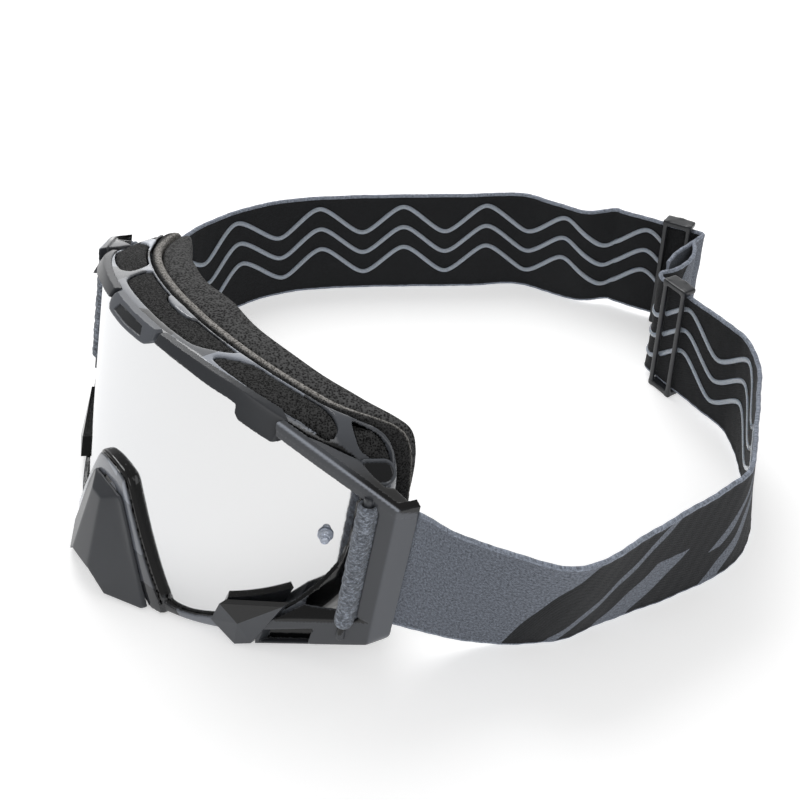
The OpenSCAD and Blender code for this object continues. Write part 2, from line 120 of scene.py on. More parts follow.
def half_outline(half, steps=5):
    """A closed outline for |x| from its right half, smooth across the middle."""
    curve = smooth_line(half, steps) if steps > 1 else np.asarray(half, float)
    return np.concatenate([curve, [[-FAR, curve[-1][1]], [-FAR, curve[0][1]]]])


def cut_corners(points, rounds=2):
    """A closed outline with its corners cut."""
    p = np.asarray(points, float)
    for _ in range(rounds):
        after = np.roll(p, -1, axis=0)
        p = np.stack([p * 0.75 + after * 0.25, p * 0.25 + after * 0.75], 1).reshape(-1, 2)
    return p


def outline_distance(points, u, v):
    """Distance from (u, v) to a closed outline, negative inside."""
    u, v = np.broadcast_arrays(u, v)
    nearest = np.full(u.shape, 1e9)
    inside = np.zeros(u.shape, bool)
    for (ax, ay), (bx, by) in zip(np.roll(points, 1, axis=0), points):
        ex, ey = bx - ax, by - ay
        px, py = u - ax, v - ay
        t = np.clip((px * ex + py * ey) / (ex * ex + ey * ey + 1e-12), 0, 1)
        nearest = np.minimum(nearest, (px - t * ex) ** 2 + (py - t * ey) ** 2)
        if ey != 0:
            inside ^= ((ay > v) != (by > v)) & (px < ex * py / ey)
    return np.where(inside, -1, 1) * np.sqrt(nearest)


def smooth_max(a, b, k=0.4):
    return 0.5 * (a + b + np.sqrt((a - b) ** 2 + k * k))


def smooth_min(a, b, k=0.4):
    return 0.5 * (a + b - np.sqrt((a - b) ** 2 + k * k))


def largest(*fields):
    out = fields[0]
    for f in fields[1:]:
        out = np.maximum(out, f)
    return out


def plane(a, b, c, inside):
    """A half-space field: the plane through three points, negative on the side of `inside`."""
    a, b, c, inside = (np.asarray(p, float) for p in (a, b, c, inside))
    n = np.cross(b - a, c - a)
    n /= np.linalg.norm(n)
    if (inside - a) @ n > 0:
        n = -n
    return lambda x, y, z: (x - a[0]) * n[0] + (y - a[1]) * n[1] + (z - a[2]) * n[2]


def box_field(x, y, z, low, high):
    """Distance to a box, negative inside."""
    past = [abs(p - (a + b) / 2) - (b - a) / 2 for p, a, b in zip((x, y, z), low, high)]
    return smooth_max(smooth_max(past[0], past[1], 0.5), past[2], 0.5)


def lens_radius(x, y):
    return np.hypot(x, y - LENS_AXIS)


def behind_back(x, y, depth=0.0):
    """Negative in front of the frame's back edge moved towards the face by depth."""
    return BACK_R - np.hypot(x, y - (BACK_AXIS + depth))


def ramp(value, low, high):
    t = np.clip((value - low) / (high - low), 0, 1)
    return t * t * (3 - 2 * t)


# ---- meshing ----

CELL_CORNERS = np.array([(i, j, k) for i in (0, 1) for j in (0, 1) for k in (0, 1)])
CELL_EDGES = [(a, b) for a in range(8) for b in range(a + 1, 8)
              if abs(CELL_CORNERS[a] - CELL_CORNERS[b]).sum() == 1]


def surface_net(field, low, high, step):
    """Vertices and four-sided faces where the field is 0, one vertex per grid cell."""
    axes = [np.arange(a, b + step, step) for a, b in zip(low, high)]
    value = field(axes[0][:, None, None], axes[1][None, :, None], axes[2][None, None, :])
    value = np.ascontiguousarray(np.broadcast_to(value, [len(a) for a in axes]))
    inside = value < 0
    cells = tuple(n - 1 for n in value.shape)
    count = np.zeros(cells, np.int8)
    for i, j, k in CELL_CORNERS:
        count += inside[i:i + cells[0], j:j + cells[1], k:k + cells[2]]
    active = np.argwhere((count > 0) & (count < 8))
    number = np.full(cells, -1, np.int32)
    number[tuple(active.T)] = np.arange(len(active))
    corner_value = np.stack([value[tuple((active + c).T)] for c in CELL_CORNERS], 1)
    total = np.zeros((len(active), 3))
    crossings = np.zeros((len(active), 1))
    for a, b in CELL_EDGES:
        va, vb = corner_value[:, a], corner_value[:, b]
        crossed = (va < 0) != (vb < 0)
        t = np.where(crossed, va / np.where(crossed, va - vb, 1), 0)[:, None]
        point = CELL_CORNERS[a] + (CELL_CORNERS[b] - CELL_CORNERS[a]) * t
        total += np.where(crossed[:, None], point, 0)
        crossings += crossed[:, None]
    points = np.array(low) + (active + total / crossings) * step
    quads = []
    for axis in range(3):
        side_a, side_b = (axis + 1) % 3, (axis + 2) % 3
        changed = np.diff(inside.astype(np.int8), axis=axis)
        at = np.argwhere(changed)
        at = at[(at[:, side_a] > 0) & (at[:, side_b] > 0)
                & (at[:, side_a] < cells[side_a]) & (at[:, side_b] < cells[side_b])]
        sign = changed[tuple(at.T)]
        ring = []
        for da, db in ((1, 1), (0, 1), (0, 0), (1, 0)):
            cell = at.copy()
            cell[:, side_a] -= da
            cell[:, side_b] -= db
            ring.append(number[tuple(cell.T)])
        faces = np.stack(ring, 1)
        faces[sign > 0] = faces[sign > 0][:, ::-1]
        quads.append(faces)
    return points, np.concatenate(quads)


def settle(field, points, step):
    """Points moved onto the surface, and the surface's normals there."""
    probe = 0.04
    for _ in range(2):
        x, y, z = points.T
        value = field(x, y, z)
        slope = np.stack([field(x + probe, y, z) - value, field(x, y + probe, z) - value,
                          field(x, y, z + probe) - value], 1) / probe
        length = np.linalg.norm(slope, axis=1)[:, None] + 1e-6
        travel = np.clip(value[:, None] / np.maximum(length, 0.3), -step / 2, step / 2)
        points = points - slope / length * travel
    return points, slope / length


def linked(name, data):
    """A new object in the scene."""
    obj = bpy.data.objects.new(name, data)
    bpy.context.scene.collection.objects.link(obj)
    return obj


def mesh_object(name, points, quads, material, normals=None):
    """A smooth-shaded mesh from metres, with its own vertex normals where they are given."""
    mesh = bpy.data.meshes.new(name)
    mesh.vertices.add(len(points))
    mesh.vertices.foreach_set("co", np.ascontiguousarray(points, np.float32).ravel())
    mesh.loops.add(quads.size)
    mesh.loops.foreach_set("vertex_index", np.ascontiguousarray(quads, np.int32).ravel())
    mesh.polygons.add(len(quads))
    mesh.polygons.foreach_set("loop_start", np.arange(len(quads), dtype=np.int32) * 4)
    mesh.polygons.foreach_set("use_smooth", np.ones(len(quads), bool))
    mesh.update(calc_edges=True)
    mesh.materials.append(material)
    if normals is not None:
        mesh.normals_split_custom_set_from_vertices(normals)
    return linked(name, mesh)


def place(obj, body, nodes=()):
    """obj rides on a body and stands for CAD nodes, which it hides."""
    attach(obj, body)
    if nodes:
        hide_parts(*nodes)
    return obj


def solid(name, field, low, high, step, material, side=1, shade=None):
    """A goggle piece from its field. side -1 makes the mirror image of a right-hand field."""
    points, quads = surface_net(field, low, high, step)
    points, normals = settle(field, points, step)
    if side < 0:
        points, normals = points * [-1, 1, 1], normals * [-1, 1, 1]
        quads = quads[:, ::-1]
    obj = mesh_object(name, to_table(points), quads, material, turned_to_table(normals))
    if shade is not None:
        layer = obj.data.attributes.new("shade", "FLOAT", "POINT")
        layer.data.foreach_set("value", shade(*points.T).astype(np.float32))
    return obj


# ---- materials ----

class Nodes:
    """A small helper that builds a procedural material, or adds nodes to a given tree."""

    def __init__(self, name, tree=None):
        self.tree = tree
        if tree is None:
            self.material = bpy.data.materials.new(name)
            self.material.use_nodes = True
            self.tree = self.material.node_tree
            self.shader = self.tree.nodes["Principled BSDF"]

    def add(self, kind, inputs=None, **settings):
        node = self.tree.nodes.new(kind)
        for key, value in settings.items():
            setattr(node, key, value)
        for key, value in (inputs or {}).items():
            self.feed(node.inputs[key], value)
        return node

    def feed(self, socket, value):
        if isinstance(value, bpy.types.NodeSocket):
            self.tree.links.new(value, socket)
        elif socket.type == "RGBA":
            socket.default_value = (*value[:3], 1)
        else:
            socket.default_value = value

    def set(self, **inputs):
        for key, value in inputs.items():
            self.feed(self.shader.inputs[key.replace("_", " ")], value)
        return self.material

    def math(self, operation, a, b=0.0):
        return self.add("ShaderNodeMath", {0: a, 1: b}, operation=operation).outputs[0]

    def plus(self, a, b):
        return self.math("ADD", a, b)

    def times(self, a, b):
        return self.math("MULTIPLY", a, b)

    def place_in(self, stretch=(1, 1, 1)):
        """Object coordinates in metres, stretched along each axis."""
        coords = self.add("ShaderNodeTexCoord").outputs["Object"]
        return self.add("ShaderNodeMapping", {"Vector": coords, "Scale": stretch}).outputs[0]

    def noise(self, vector, scale, detail=2.0, rough=0.5):
        return self.add("ShaderNodeTexNoise", {"Vector": vector, "Scale": scale, "Detail": detail,
                                               "Roughness": rough}).outputs["Fac"]

    def ramp(self, fac, stops, kind="LINEAR"):
        node = self.add("ShaderNodeValToRGB", {"Fac": fac})
        node.color_ramp.interpolation = kind
        while len(node.color_ramp.elements) < len(stops):
            node.color_ramp.elements.new(0.5)
        for element, (at, colour) in zip(node.color_ramp.elements, stops):
            element.position = at
            element.color = (*colour, 1)
        return node.outputs["Color"]

    def mix(self, fac, a, b):
        node = self.add("ShaderNodeMix", data_type="RGBA")
        self.feed(node.inputs[0], fac)
        for socket, value in ((node.inputs[6], a), (node.inputs[7], b)):
            self.feed(socket, value if isinstance(value, bpy.types.NodeSocket) else (*value, 1))
        return node.outputs[2]

    def shade(self):
        """The mesh's own shade value, from 0 to 1."""
        return self.add("ShaderNodeAttribute", attribute_name="shade").outputs["Fac"]

    def bump(self, height, distance, strength=1.0):
        return self.add("ShaderNodeBump", {"Height": height, "Distance": distance,
                                           "Strength": strength}).outputs[0]


def grey(level, tint=(0.93, 1.0, 1.14)):
    """A display grey from 0 to 255 as a linear colour, slightly blue by default."""
    linear = (level / 255) ** 2.2
    return tuple(linear * t for t in tint)


BLUISH = (0.9, 1.0, 1.18)
NEUTRAL = (1.0, 1.0, 1.0)
CAMO_CELLS = 52.0  # cells of the pattern per metre
CAMO_PAINTED_REFLECTION = -2.6  # painted reflection: the pattern turns lighter towards the far side and darker towards the near one, per metre
CAMO_GREYS = [(0.0, 44), (0.2, 80), (0.42, 112), (0.66, 146), (0.9, 182)]
FINE_GRAIN = 3200.0  # spark-eroded grain, per metre


def camo_gloss():
    """Glossy shell plastic with an angular pattern of greys, lighter towards the far side as a painted
    reflection, plain black where shade is 0.
    """
    n = Nodes("camo_gloss")
    cells = n.add("ShaderNodeTexVoronoi", {"Vector": n.place_in((1.0, 0.75, 1.0)), "Scale": CAMO_CELLS})
    pick = n.add("ShaderNodeSeparateColor", {"Color": cells.outputs["Color"]}).outputs[0]
    across = n.add("ShaderNodeSeparateXYZ", {"Vector": n.place_in()}).outputs[0]
    # painted reflection: the grey's level rises towards the far side
    level = n.plus(n.plus(pick, 0.04), n.times(across, CAMO_PAINTED_REFLECTION))
    colour = n.ramp(level, [(at, grey(step)) for at, step in CAMO_GREYS], "CONSTANT")
    peel = n.noise(n.place_in(), 260.0)
    return n.set(Base_Color=n.mix(n.shade(), grey(10), colour), Roughness=0.14, IOR=1.5,
                 Coat_Weight=0.35, Coat_Roughness=0.05, Normal=n.bump(peel, 0.00006, 0.25))


def satin(name, level, roughness=0.36):
    """Moulded satin plastic with a fine spark-eroded grain."""
    n = Nodes(name)
    fine = n.noise(n.place_in(), FINE_GRAIN, 3.0)
    broad = n.noise(n.place_in(), 90.0)
    rough = n.plus(n.times(fine, 0.14), roughness - 0.07)
    return n.set(Base_Color=n.mix(broad, grey(level - 4), grey(level + 4)), Roughness=rough, IOR=1.48,
                 Normal=n.bump(fine, 0.00004, 0.35))


def toned(name, levels, low_roughness, roughness, rough_at=1.0):
    """Satin plastic whose grey follows the shade value through levels, with a gloss of its own at 0."""
    n = Nodes(name)
    fine = n.noise(n.place_in(), FINE_GRAIN, 3.0)
    shade = n.shade()
    rough = n.add("ShaderNodeMapRange", {"Value": shade, "From Max": rough_at, "To Min": low_roughness,
                                         "To Max": roughness})
    stops = [(i / (len(levels) - 1), grey(level)) for i, level in enumerate(levels)]
    return n.set(Base_Color=n.ramp(shade, stops), Roughness=rough.outputs[0], IOR=1.48,
                 Normal=n.bump(fine, 0.00004, 0.3))


def mirror_lens():
    """Silver mirror coating, slightly bluer and darker at grazing angles."""
    n = Nodes("lens_silver_mirror")
    facing = n.add("ShaderNodeLayerWeight", {"Blend": 0.35}).outputs["Facing"]
    soft = n.noise(n.place_in(), 14.0)
    colour = n.mix(facing, grey(222, NEUTRAL), grey(212, (0.97, 0.99, 1.02)))
    return n.set(Base_Color=colour, Metallic=1.0, Roughness=n.plus(n.times(soft, 0.03), 0.06))


def open_foam(name, dark, light, cell, depth=0.0005, edge=None):
    """Open-cell foam: pits between lighter struts, in an edge grey where shade is 1."""
    n = Nodes(name)
    where = n.place_in()
    cells = n.add("ShaderNodeTexVoronoi", {"Vector": where, "Scale": cell}).outputs["Distance"]
    mottle = n.noise(where, cell * 0.45, 4.0, 0.7)
    mixed = n.plus(n.times(cells, 0.7), n.times(mottle, 0.6))
    colour = n.ramp(mixed, [(0.42, grey(dark, NEUTRAL)), (0.78, grey(light, NEUTRAL))])
    if edge:
        # a lighter, warmer grey where shade is 1
        ridge_grey = n.ramp(mixed, [(0.42, grey(64, (1.1, 1.0, 0.9))), (0.78, grey(edge, (1.04, 1.0, 0.95)))])
        colour = n.mix(n.shade(), colour, ridge_grey)
    return n.set(Base_Color=colour, Roughness=0.95, Specular_IOR_Level=0.15,
                 Normal=n.bump(mixed, depth, 0.8))


def webbing(name, base, dark, slashes=()):
    """Knitted elastic: twill from the piece's UVs (mm along, mm across), with dark slashes."""
    n = Nodes(name)
    uv = n.add("ShaderNodeUVMap", uv_map="along_across").outputs[0]
    along, across = n.add("ShaderNodeSeparateXYZ", {"Vector": uv}).outputs[:2]
    twill = n.math("SINE", n.times(n.plus(along, n.times(across, 1.3)), 5.6))
    fluff = n.add("ShaderNodeMapRange", {"Value": n.noise(uv, 1.3, 4.0, 0.75), "From Min": 0.35,
                                         "From Max": 0.65}).outputs[0]
    tint = (0.9, 1.0, 1.2)
    colour = n.mix(fluff, grey(base * 0.7, tint), grey(base * 1.28, tint))
    if slashes:
        mask = slash_mask(n, along, across, slashes)
        colour = n.mix(mask, colour, n.mix(fluff, grey(dark * 0.7, tint), grey(dark * 1.3, tint)))
    height = n.plus(n.times(twill, 0.25), n.noise(uv, 3.1, 3.0, 0.6))
    return n.set(Base_Color=colour, Roughness=0.95, Sheen_Weight=0.06, Sheen_Roughness=0.4,
                 Normal=n.bump(height, 0.00016, 0.8))


def slash_mask(n, along, across, slashes):
    """1 inside the dark slanted bands, back to 0 inside the light ones that follow them.

    Each slash is (start mm, width mm, slant, low mm, high mm, 1 for dark or 0 for light).
    """
    total = 0.0
    for start, width, slant, low, high, dark in slashes:
        shifted = n.math("SUBTRACT", n.math("SUBTRACT", along, start), n.times(across, slant))
        inside = n.times(n.math("GREATER_THAN", shifted, 0.0), n.math("LESS_THAN", shifted, width))
        tall = n.times(n.math("GREATER_THAN", across, low), n.math("LESS_THAN", across, high))
        inside = n.times(inside, tall)
        total = n.math("MAXIMUM", total, inside) if dark else n.times(total, n.math("SUBTRACT", 1.0, inside))
    return total


def silicone():
    """Glossy printed silicone with small bubbles."""
    n = Nodes("grip_silicone")
    spots = n.noise(n.place_in(), 1800.0)
    colour = n.mix(spots, grey(124), grey(184))
    return n.set(Base_Color=colour, Roughness=0.16, IOR=1.43, Subsurface_Weight=0.1, Coat_Weight=0.6,
                 Normal=n.bump(spots, 0.0002, 0.7))


def clear_plastic():
    n = Nodes("post_clear")
    cloud = n.noise(n.place_in(), 700.0)
    return n.set(Base_Color=grey(236), Roughness=n.times(cloud, 0.12), IOR=1.49, Transmission_Weight=0.6)


def heather():
    """Brushed grey loop fabric with streaks that run round the roll."""
    n = Nodes("heather_fabric")
    streak = n.noise(n.place_in((0.6, 0.6, 1.0)), 1300.0, 4.0, 0.8)
    tuft = n.noise(n.place_in(), 420.0, 3.0, 0.6)
    colour = n.ramp(streak, [(at, grey(level, BLUISH)) for at, level in ((0.3, 58), (0.5, 106), (0.72, 184))])
    return n.set(Base_Color=colour, Roughness=0.95, Sheen_Weight=0.2,
                 Normal=n.bump(n.plus(streak, n.times(tuft, 0.6)), 0.0004, 0.9))


MATERIALS = {
    "camo": camo_gloss(),
    "plate": toned("brow_plate_satin", (44, 92), 0.4, 0.32),
    "trim": satin("trim_charcoal", 56),
    # arm: 10 is glossy black and painted shade, 66 the charcoal faces, 150 a painted highlight along the
    # upper edge
    "arm": toned("outrigger_charcoal", (10, 66, 150), 0.12, 0.36, 0.5),
    "guard": satin("guard_charcoal", 62),
    "clip": satin("clip_charcoal", 72, 0.34),
    # painted shade: black for the clips' facets that face up
    "painted_shade_black": satin("painted_shade_black", 14, 0.14),
    # cap: 84 is a painted highlight on the raised edge, 26 the navy boss
    "cap": toned("temple_cap_navy", (26, 84), 0.12, 0.26),
    "slider": satin("slider_charcoal", 46, 0.3),
    "lens": mirror_lens(),
    "gasket": satin("gasket_rubber", 16, 0.6),
    "vent": open_foam("vent_foam", 2, 66, 1700.0, 0.0007),
    "base": open_foam("foam_base", 22, 60, 1700.0, 0.0004, 156),
    "core": open_foam("foam_core", 26, 88, 1700.0),
    "fleece": open_foam("foam_fleece", 22, 86, 1300.0),
    "post": clear_plastic(),
    "loop": heather(),
    "silicone": silicone(),
    "inner": webbing("strap_inner", 27, 20),
    "selvedge": webbing("strap_selvedge", 134, 60),
}


# ---- building ----

def piece(name, nodes, field, box, step, material, body="frame_body", side=1, shade=None):
    """A solid goggle piece that stands for CAD nodes on a body. box is its (low, high) corners."""
    place(solid(name, field, *box, step, MATERIALS[material], side, shade), body, nodes)


def pair(node, field, box, step, material, body="frame_body", shade=None):
    """A left-hand piece and its mirror image. {} in body stands for left or right."""
    for label, side in SIDES.items():
        piece(f"{node}_{label}_mesh", [f"{node}_{label}"], field, box, step, material,
              body.format(label), side, shade)


# ---- frame ----

BELOW_CHEEK = [(70.4, 14), (60, 3.6), (46, -1.6), (34, -4.8), (26.2, -5.4), (18.6, 5), (11.6, 24),
               (7, 32.4), (3, 34.2), (0, 34.2)]
FRAME_OUTLINE = half_outline([
    (0, 91.5), (18, 91.2), (34, 89.4), (46, 86.6), (59, 81.2), (72, 73.6), (78.4, 65), (79.4, 50),
    (77.6, 33)] + BELOW_CHEEK)
REAR_OUTLINE = half_outline([
    (0, 90.7), (18, 89.8), (34, 88), (47, 85.8), (56, 83.6), (64, 82.4), (68.7, 80.9), (71.4, 78),
    (73, 73), (74, 65), (74.8, 50), (74.6, 33)] + BELOW_CHEEK)
OPENING = half_outline([
    (0, 87), (18, 86.6), (44, 82.8), (57, 77.4), (69, 70.4), (73.6, 63), (74.2, 50), (73, 35),
    (66.4, 18.2), (57.5, 8.8), (46, 3), (38.4, 0), (32, -0.6), (30.1, 1.4), (26.2, 7.2),
    (19.4, 18.4), (13.4, 28.8), (9.8, 34.6), (7.4, 36.2), (3.6, 37), (0, 37.2)])
EYES = half_outline([
    (0, 73), (40, 70.5), (58, 62), (65, 48), (62, 31), (48, 18), (31, 14), (22, 28), (13, 44), (0, 49)])
BROW_SLANT = math.radians(29)  # the brow's front leans back by this angle
BROW_DEPTH = 5.3  # height of the brow's slanted band
BROW_R = 91.4  # front of the brow band's lower edge
BROW_FADE = (40, 62)  # the slant fades in over these heights
TRIM_T = 1.5
UNDERSIDE_Z, UNDERSIDE_Y = -5.3, 14  # the flat underside passes through this height and depth
UNDERSIDE_RISE = math.radians(15)  # and rises towards the face by this angle
HOLLOW_R = 84.4  # the shell is hollow behind this radius
GROOVE_R, GROOVE_HALF = 87.0, 1.1  # the lens's groove

WINDOWS = {
    "centre": [(-10, 17.7), (0, 17.4), (10, 18), (18.1, 19.2), (23.4, 21.4), (29.4, 33.4), (21.3, 33.6),
               (11.5, 31), (9.8, 30.4), (6.6, 26.2), (-10, 25.7)],
    "side": [(29.3, 23.2), (28.3, 25.6), (33.5, 34.8), (44, 40.4), (56.4, 47), (63.6, 46.8), (65.2, 44.4),
             (63.2, 41.4), (57, 36.4), (51.5, 31.4), (38, 24.4), (31, 22.8)],
    "temple": [(62.8, 51.2), (63.4, 53.4), (67.3, 57.9), (70.8, 60.6), (74.4, 62), (74.4, 58),
               (72.1, 55), (69.4, 50.3)],
    "lower": [(44, 29), (58, 37.5), (56.5, 46), (43, 38)],
}
SPANS = {"centre": (70, 100), "side": (62, 100), "temple": (50, 100), "lower": (-20, 24)}
LIP = 1.3  # a window stops this far in front of the back edge


def underside(z, y, margin=0.0):
    """Negative above the underside, which rises towards the face."""
    above = (z - UNDERSIDE_Z - margin) * math.cos(UNDERSIDE_RISE)
    return (y - UNDERSIDE_Y) * math.sin(UNDERSIDE_RISE) - above


def outer_skin(x, y, z):
    """The frame's outline, which changes from the front's to the rear edge's towards the face."""
    front = LENS_AXIS + 1.5 - np.sqrt(np.maximum(RIM_R ** 2 - x ** 2, 400))
    rear = BACK_AXIS - np.sqrt(np.maximum(BACK_R ** 2 - x ** 2, 400))
    way = np.clip((y - front) / (rear - front), 0, 1)
    at_front = outline_distance(FRAME_OUTLINE, abs(x), z)
    return at_front + (outline_distance(REAR_OUTLINE, abs(x), z) - at_front) * way


def brow_slant(x, y, z):
    """Negative behind the brow's slanted front, and everywhere low on the frame."""
    edge = outline_distance(FRAME_OUTLINE, abs(x), z)
    forward = (lens_radius(x, y) - BROW_R) * math.cos(BROW_SLANT)
    return forward + (edge + BROW_DEPTH) * math.sin(BROW_SLANT) - 12 * (1 - ramp(z, *BROW_FADE))


def window_plan(name, x, y):
    shape = cut_corners(WINDOWS[name], 2)
    return largest(outline_distance(shape, abs(x), y), behind_back(x, y) + LIP)


def window_cut(name, x, y, z):
    low, high = SPANS[name]
    return largest(window_plan(name, x, y), low - z, z - high)


ARCH_TOP = 37.8  # the arch's layers end at this height
ARCH_LIP = 5.0  # the layers reach this far inwards under the nose guard


def arch_half_width(z):
    return 19 + (ARCH_TOP - z) * 0.3


def arch_solid(x, y, z):
    """The layered rim around the nose: front layer, groove and rounded rim over the lens."""
    radius = lens_radius(x, y)
    hole = outline_distance(OPENING, abs(x), z)
    front = largest(smooth_max(radius - ARCH_R, 0.8 - hole, 0.5), ARCH_R - 0.8 - radius)
    neck = largest(radius - ARCH_R + 0.6, 1.5 - hole)
    rim = smooth_max(radius - ARCH_R + 1.0, 0.1 - hole, 0.7)
    layers = np.minimum(np.minimum(front, neck), rim)
    inner = outline_distance(FRAME_OUTLINE, abs(x), z) - ARCH_LIP * ramp(z, 8, 24)
    sides = smooth_max(inner, underside(z, y), 0.8)
    region = largest(z - ARCH_TOP, abs(x) - arch_half_width(z), 87 - radius)
    return largest(smooth_max(layers, sides, 0.8), region)


def frame_field(x, y, z):
    radius = lens_radius(x, y)
    skin = outer_skin(x, y, z)
    bottom = underside(z, y)
    front = smooth_max(radius - RIM_R, brow_slant(x, y, z) + TRIM_T + 0.15, 0.3)
    shell = smooth_max(smooth_max(skin, bottom, 1.5), smooth_max(front, behind_back(x, y), 0.5), 1.0)
    hollow = largest(skin + WALL, bottom + WALL, radius - HOLLOW_R, behind_back(x, y) + 2)
    hole = outline_distance(OPENING, abs(x), z)
    shell = np.maximum(shell, -hollow)
    shell = smooth_max(shell, -largest(hole, 83 - radius), 0.5)
    shell = np.maximum(shell, -largest(hole - 2.2, abs(radius - GROOVE_R) - GROOVE_HALF))
    eyes = largest(outline_distance(EYES, abs(x), z) - 2, radius - 84)
    shell = np.maximum(shell, -eyes)
    for name in WINDOWS:
        shell = smooth_max(shell, -window_cut(name, x, y, z), 0.5)
    return smooth_min(shell, arch_solid(x, y, z), 0.5)


def frame_shade(x, y, z):
    """1 on the patterned outside, 0 in grooves, on the arch's rim and inside."""
    radius = lens_radius(x, y)
    in_arch = (abs(x) < arch_half_width(z)) & (z < ARCH_TOP + 1) & (radius > 86)
    side_rim = (abs(x) > 69) & (z < 70) & (radius > 84) & (y < 58)
    inside = (outer_skin(x, y, z) < -1.2) & (radius < 89.3)
    shade = np.where(in_arch, ramp(radius, ARCH_R - 0.6, ARCH_R - 0.1), 1.0)
    return np.where(side_rim | inside, 0.0, shade)


STEP = 0.55

piece("frame_shell", ["frame"], frame_field, ((-82, 4, -8), (82, 66, 94)), STEP, "camo",
      shade=frame_shade)


# ---- vent foams ----

def vent_field(name, recess=0.5, depth=3.2):
    def field(x, y, z):
        skin = largest(outer_skin(x, y, z), underside(z, y))
        low, high = SPANS[name]
        return largest(smooth_max(window_plan(name, x, y) + 0.12, skin + recess, 0.7), -skin - depth,
                       low - z, z - high)
    return field


VENT_BOXES = {"centre": ((-32, 16, 80), (32, 38, 94)), "side": ((26, 20, 66), (68, 54, 92)),
              "temple": ((60, 46, 52), (80, 68, 80)), "lower": ((40, 26, -8), (62, 48, 16))}

piece("vent_foam_centre_mesh", ["vent_foam_centre"], vent_field("centre"), VENT_BOXES["centre"], STEP,
      "vent")
for window, node in (("side", "vent_foam"), ("temple", "vent_foam_temple"), ("lower", "vent_foam_lower")):
    pair(node, vent_field(window), VENT_BOXES[window], STEP, "vent")


# ---- brow trims ----

BROW_PLATE = half_outline([(0, 92), (12.4, 91.7), (13.6, 90.6), (14, 88.6), (13.2, 87.2), (11.6, 86.3),
                           (10, 86.1), (0, 85.9)], 1)
BADGE = half_outline([(0, 90.4), (7.4, 90.1), (8.8, 87.6), (0, 87.3)], 1)
BROW_TRIM = [(14.7, 91.9), (27, 90.8), (45, 87.4), (57.2, 82.4), (57.2, 75.2), (48, 79.0), (46.4, 80.4),
             (45.4, 82.8), (43, 83.7), (26, 87.2), (14.9, 88.2)]
TRIM_ROOT = 2.6  # the trims reach this far into the frame behind them


def brow_piece(outline, recess=0.0):
    """A plate that lies on the brow's slanted front, inside a front-view outline."""
    def field(x, y, z):
        slanted = brow_slant(x, y, z)
        if recess:
            badge = outline_distance(BADGE, abs(x), z)
            slanted = slanted + recess * ramp(-badge, -0.15, 0.15)
        shape = outline_distance(outline, abs(x), z)
        return largest(smooth_max(shape, slanted, 0.5), -slanted - TRIM_ROOT,
                       outer_skin(x, y, z) - 0.1)
    return field


def badge_shade(x, y, z):
    """0 inside the plate's blank recessed field."""
    return ramp(outline_distance(BADGE, abs(x), z), -0.2, 0.1)


piece("brow_plate_mesh", ["brow_plate"], brow_piece(BROW_PLATE, 0.4), ((-16, 5, 84), (16, 15, 93)), 0.35,
      "plate", shade=badge_shade)
pair("brow_trim", brow_piece(BROW_TRIM), ((14, 6, 73), (58, 33, 93)), 0.4, "trim")


# ---- lens and posts ----

def lens_field(x, y, z):
    edge = outline_distance(OPENING, abs(x), z) - 1.9
    return smooth_max(edge, abs(lens_radius(x, y) - 87.4) - 0.6, 0.2)


piece("lens_mirror_sheet", ["lens"], lens_field, ((-77, 11, -3), (77, 54, 90)), 0.55, "lens")


def lathe(name, profile, material, turns=48):
    """A turned piece along +Z from (radius, height) rows, in mm about its own origin."""
    profile = np.asarray(profile, float)
    angles = np.linspace(0, 2 * math.pi, turns, endpoint=False)
    points = [(r * math.cos(a), r * math.sin(a), h) for r, h in profile for a in angles]
    index = np.arange(len(profile) * turns).reshape(len(profile), turns)
    rolled = np.roll(index, -1, axis=1)
    quads = np.stack([index[:-1], rolled[:-1], rolled[1:], index[1:]], -1).reshape(-1, 4)
    return mesh_object(name, np.array(points), quads, material)


def arc_rows(radius, height, r, start, end, count=6):
    """Rows of a quarter-round between two angles, in degrees, about (radius, height)."""
    angles = np.radians(np.linspace(start, end, count))
    return [(radius + r * math.cos(a), height + r * math.sin(a)) for a in angles]


# A post's back flange, shank, front ring, neck and head: (radius, height above the lens)
POST_PROFILE = ([(0.02, -3.2), (2.4, -3.2)] + arc_rows(2.4, -2.7, 0.5, -90, 90)
                + [(1.3, -2.2), (1.3, 0.1), (2.1, 0.1)] + arc_rows(2.1, 0.45, 0.35, -90, 90)
                + [(1.3, 0.85), (1.25, 1.7)] + arc_rows(1.3, 2.2, 0.4, -90, 60) + [(1.3, 3.0)]
                + arc_rows(0.9, 3.2, 0.5, 0, 90) + [(0.02, 3.7)])
POST_X, POST_Z = 68.8, 45.8


def post(label):
    """A flanged post that stands square on the lens."""
    shape = lathe("tear_off_post_" + label, np.array(POST_PROFILE) * MM, MATERIALS["post"])
    angle = SIDES[label] * math.asin(POST_X / LENS_R)
    outward = [math.sin(angle), -math.cos(angle), 0]
    axis = Vector(turned_to_table(outward))
    shape.data.transform(axis.to_track_quat("Z", "Y").to_matrix().to_4x4())
    shape.location = Vector(to_table([LENS_R * outward[0], LENS_AXIS + LENS_R * outward[1], POST_Z]))
    return shape


for label in SIDES:
    place(post(label), "frame_body", ["tear_off_posts"])

for slot in frame["nodes"]["lens_gasket"].material_slots:
    slot.material = MATERIALS["gasket"]


# ---- face foam ----

BASE_T, PAD_T = 4.0, 13.0  # how far each layer shows behind the frame
BASE_DEEPER, PAD_THINNER = 3.0, 5.0  # the temples' base is deeper, and the whole is thinner there
BULGE = 2.0  # the pad's extra depth at the middle of the forehead


def at_temple(x):
    return ramp(abs(x), 50, 78)


def base_depth(x):
    return BASE_T + BASE_DEEPER * at_temple(x)


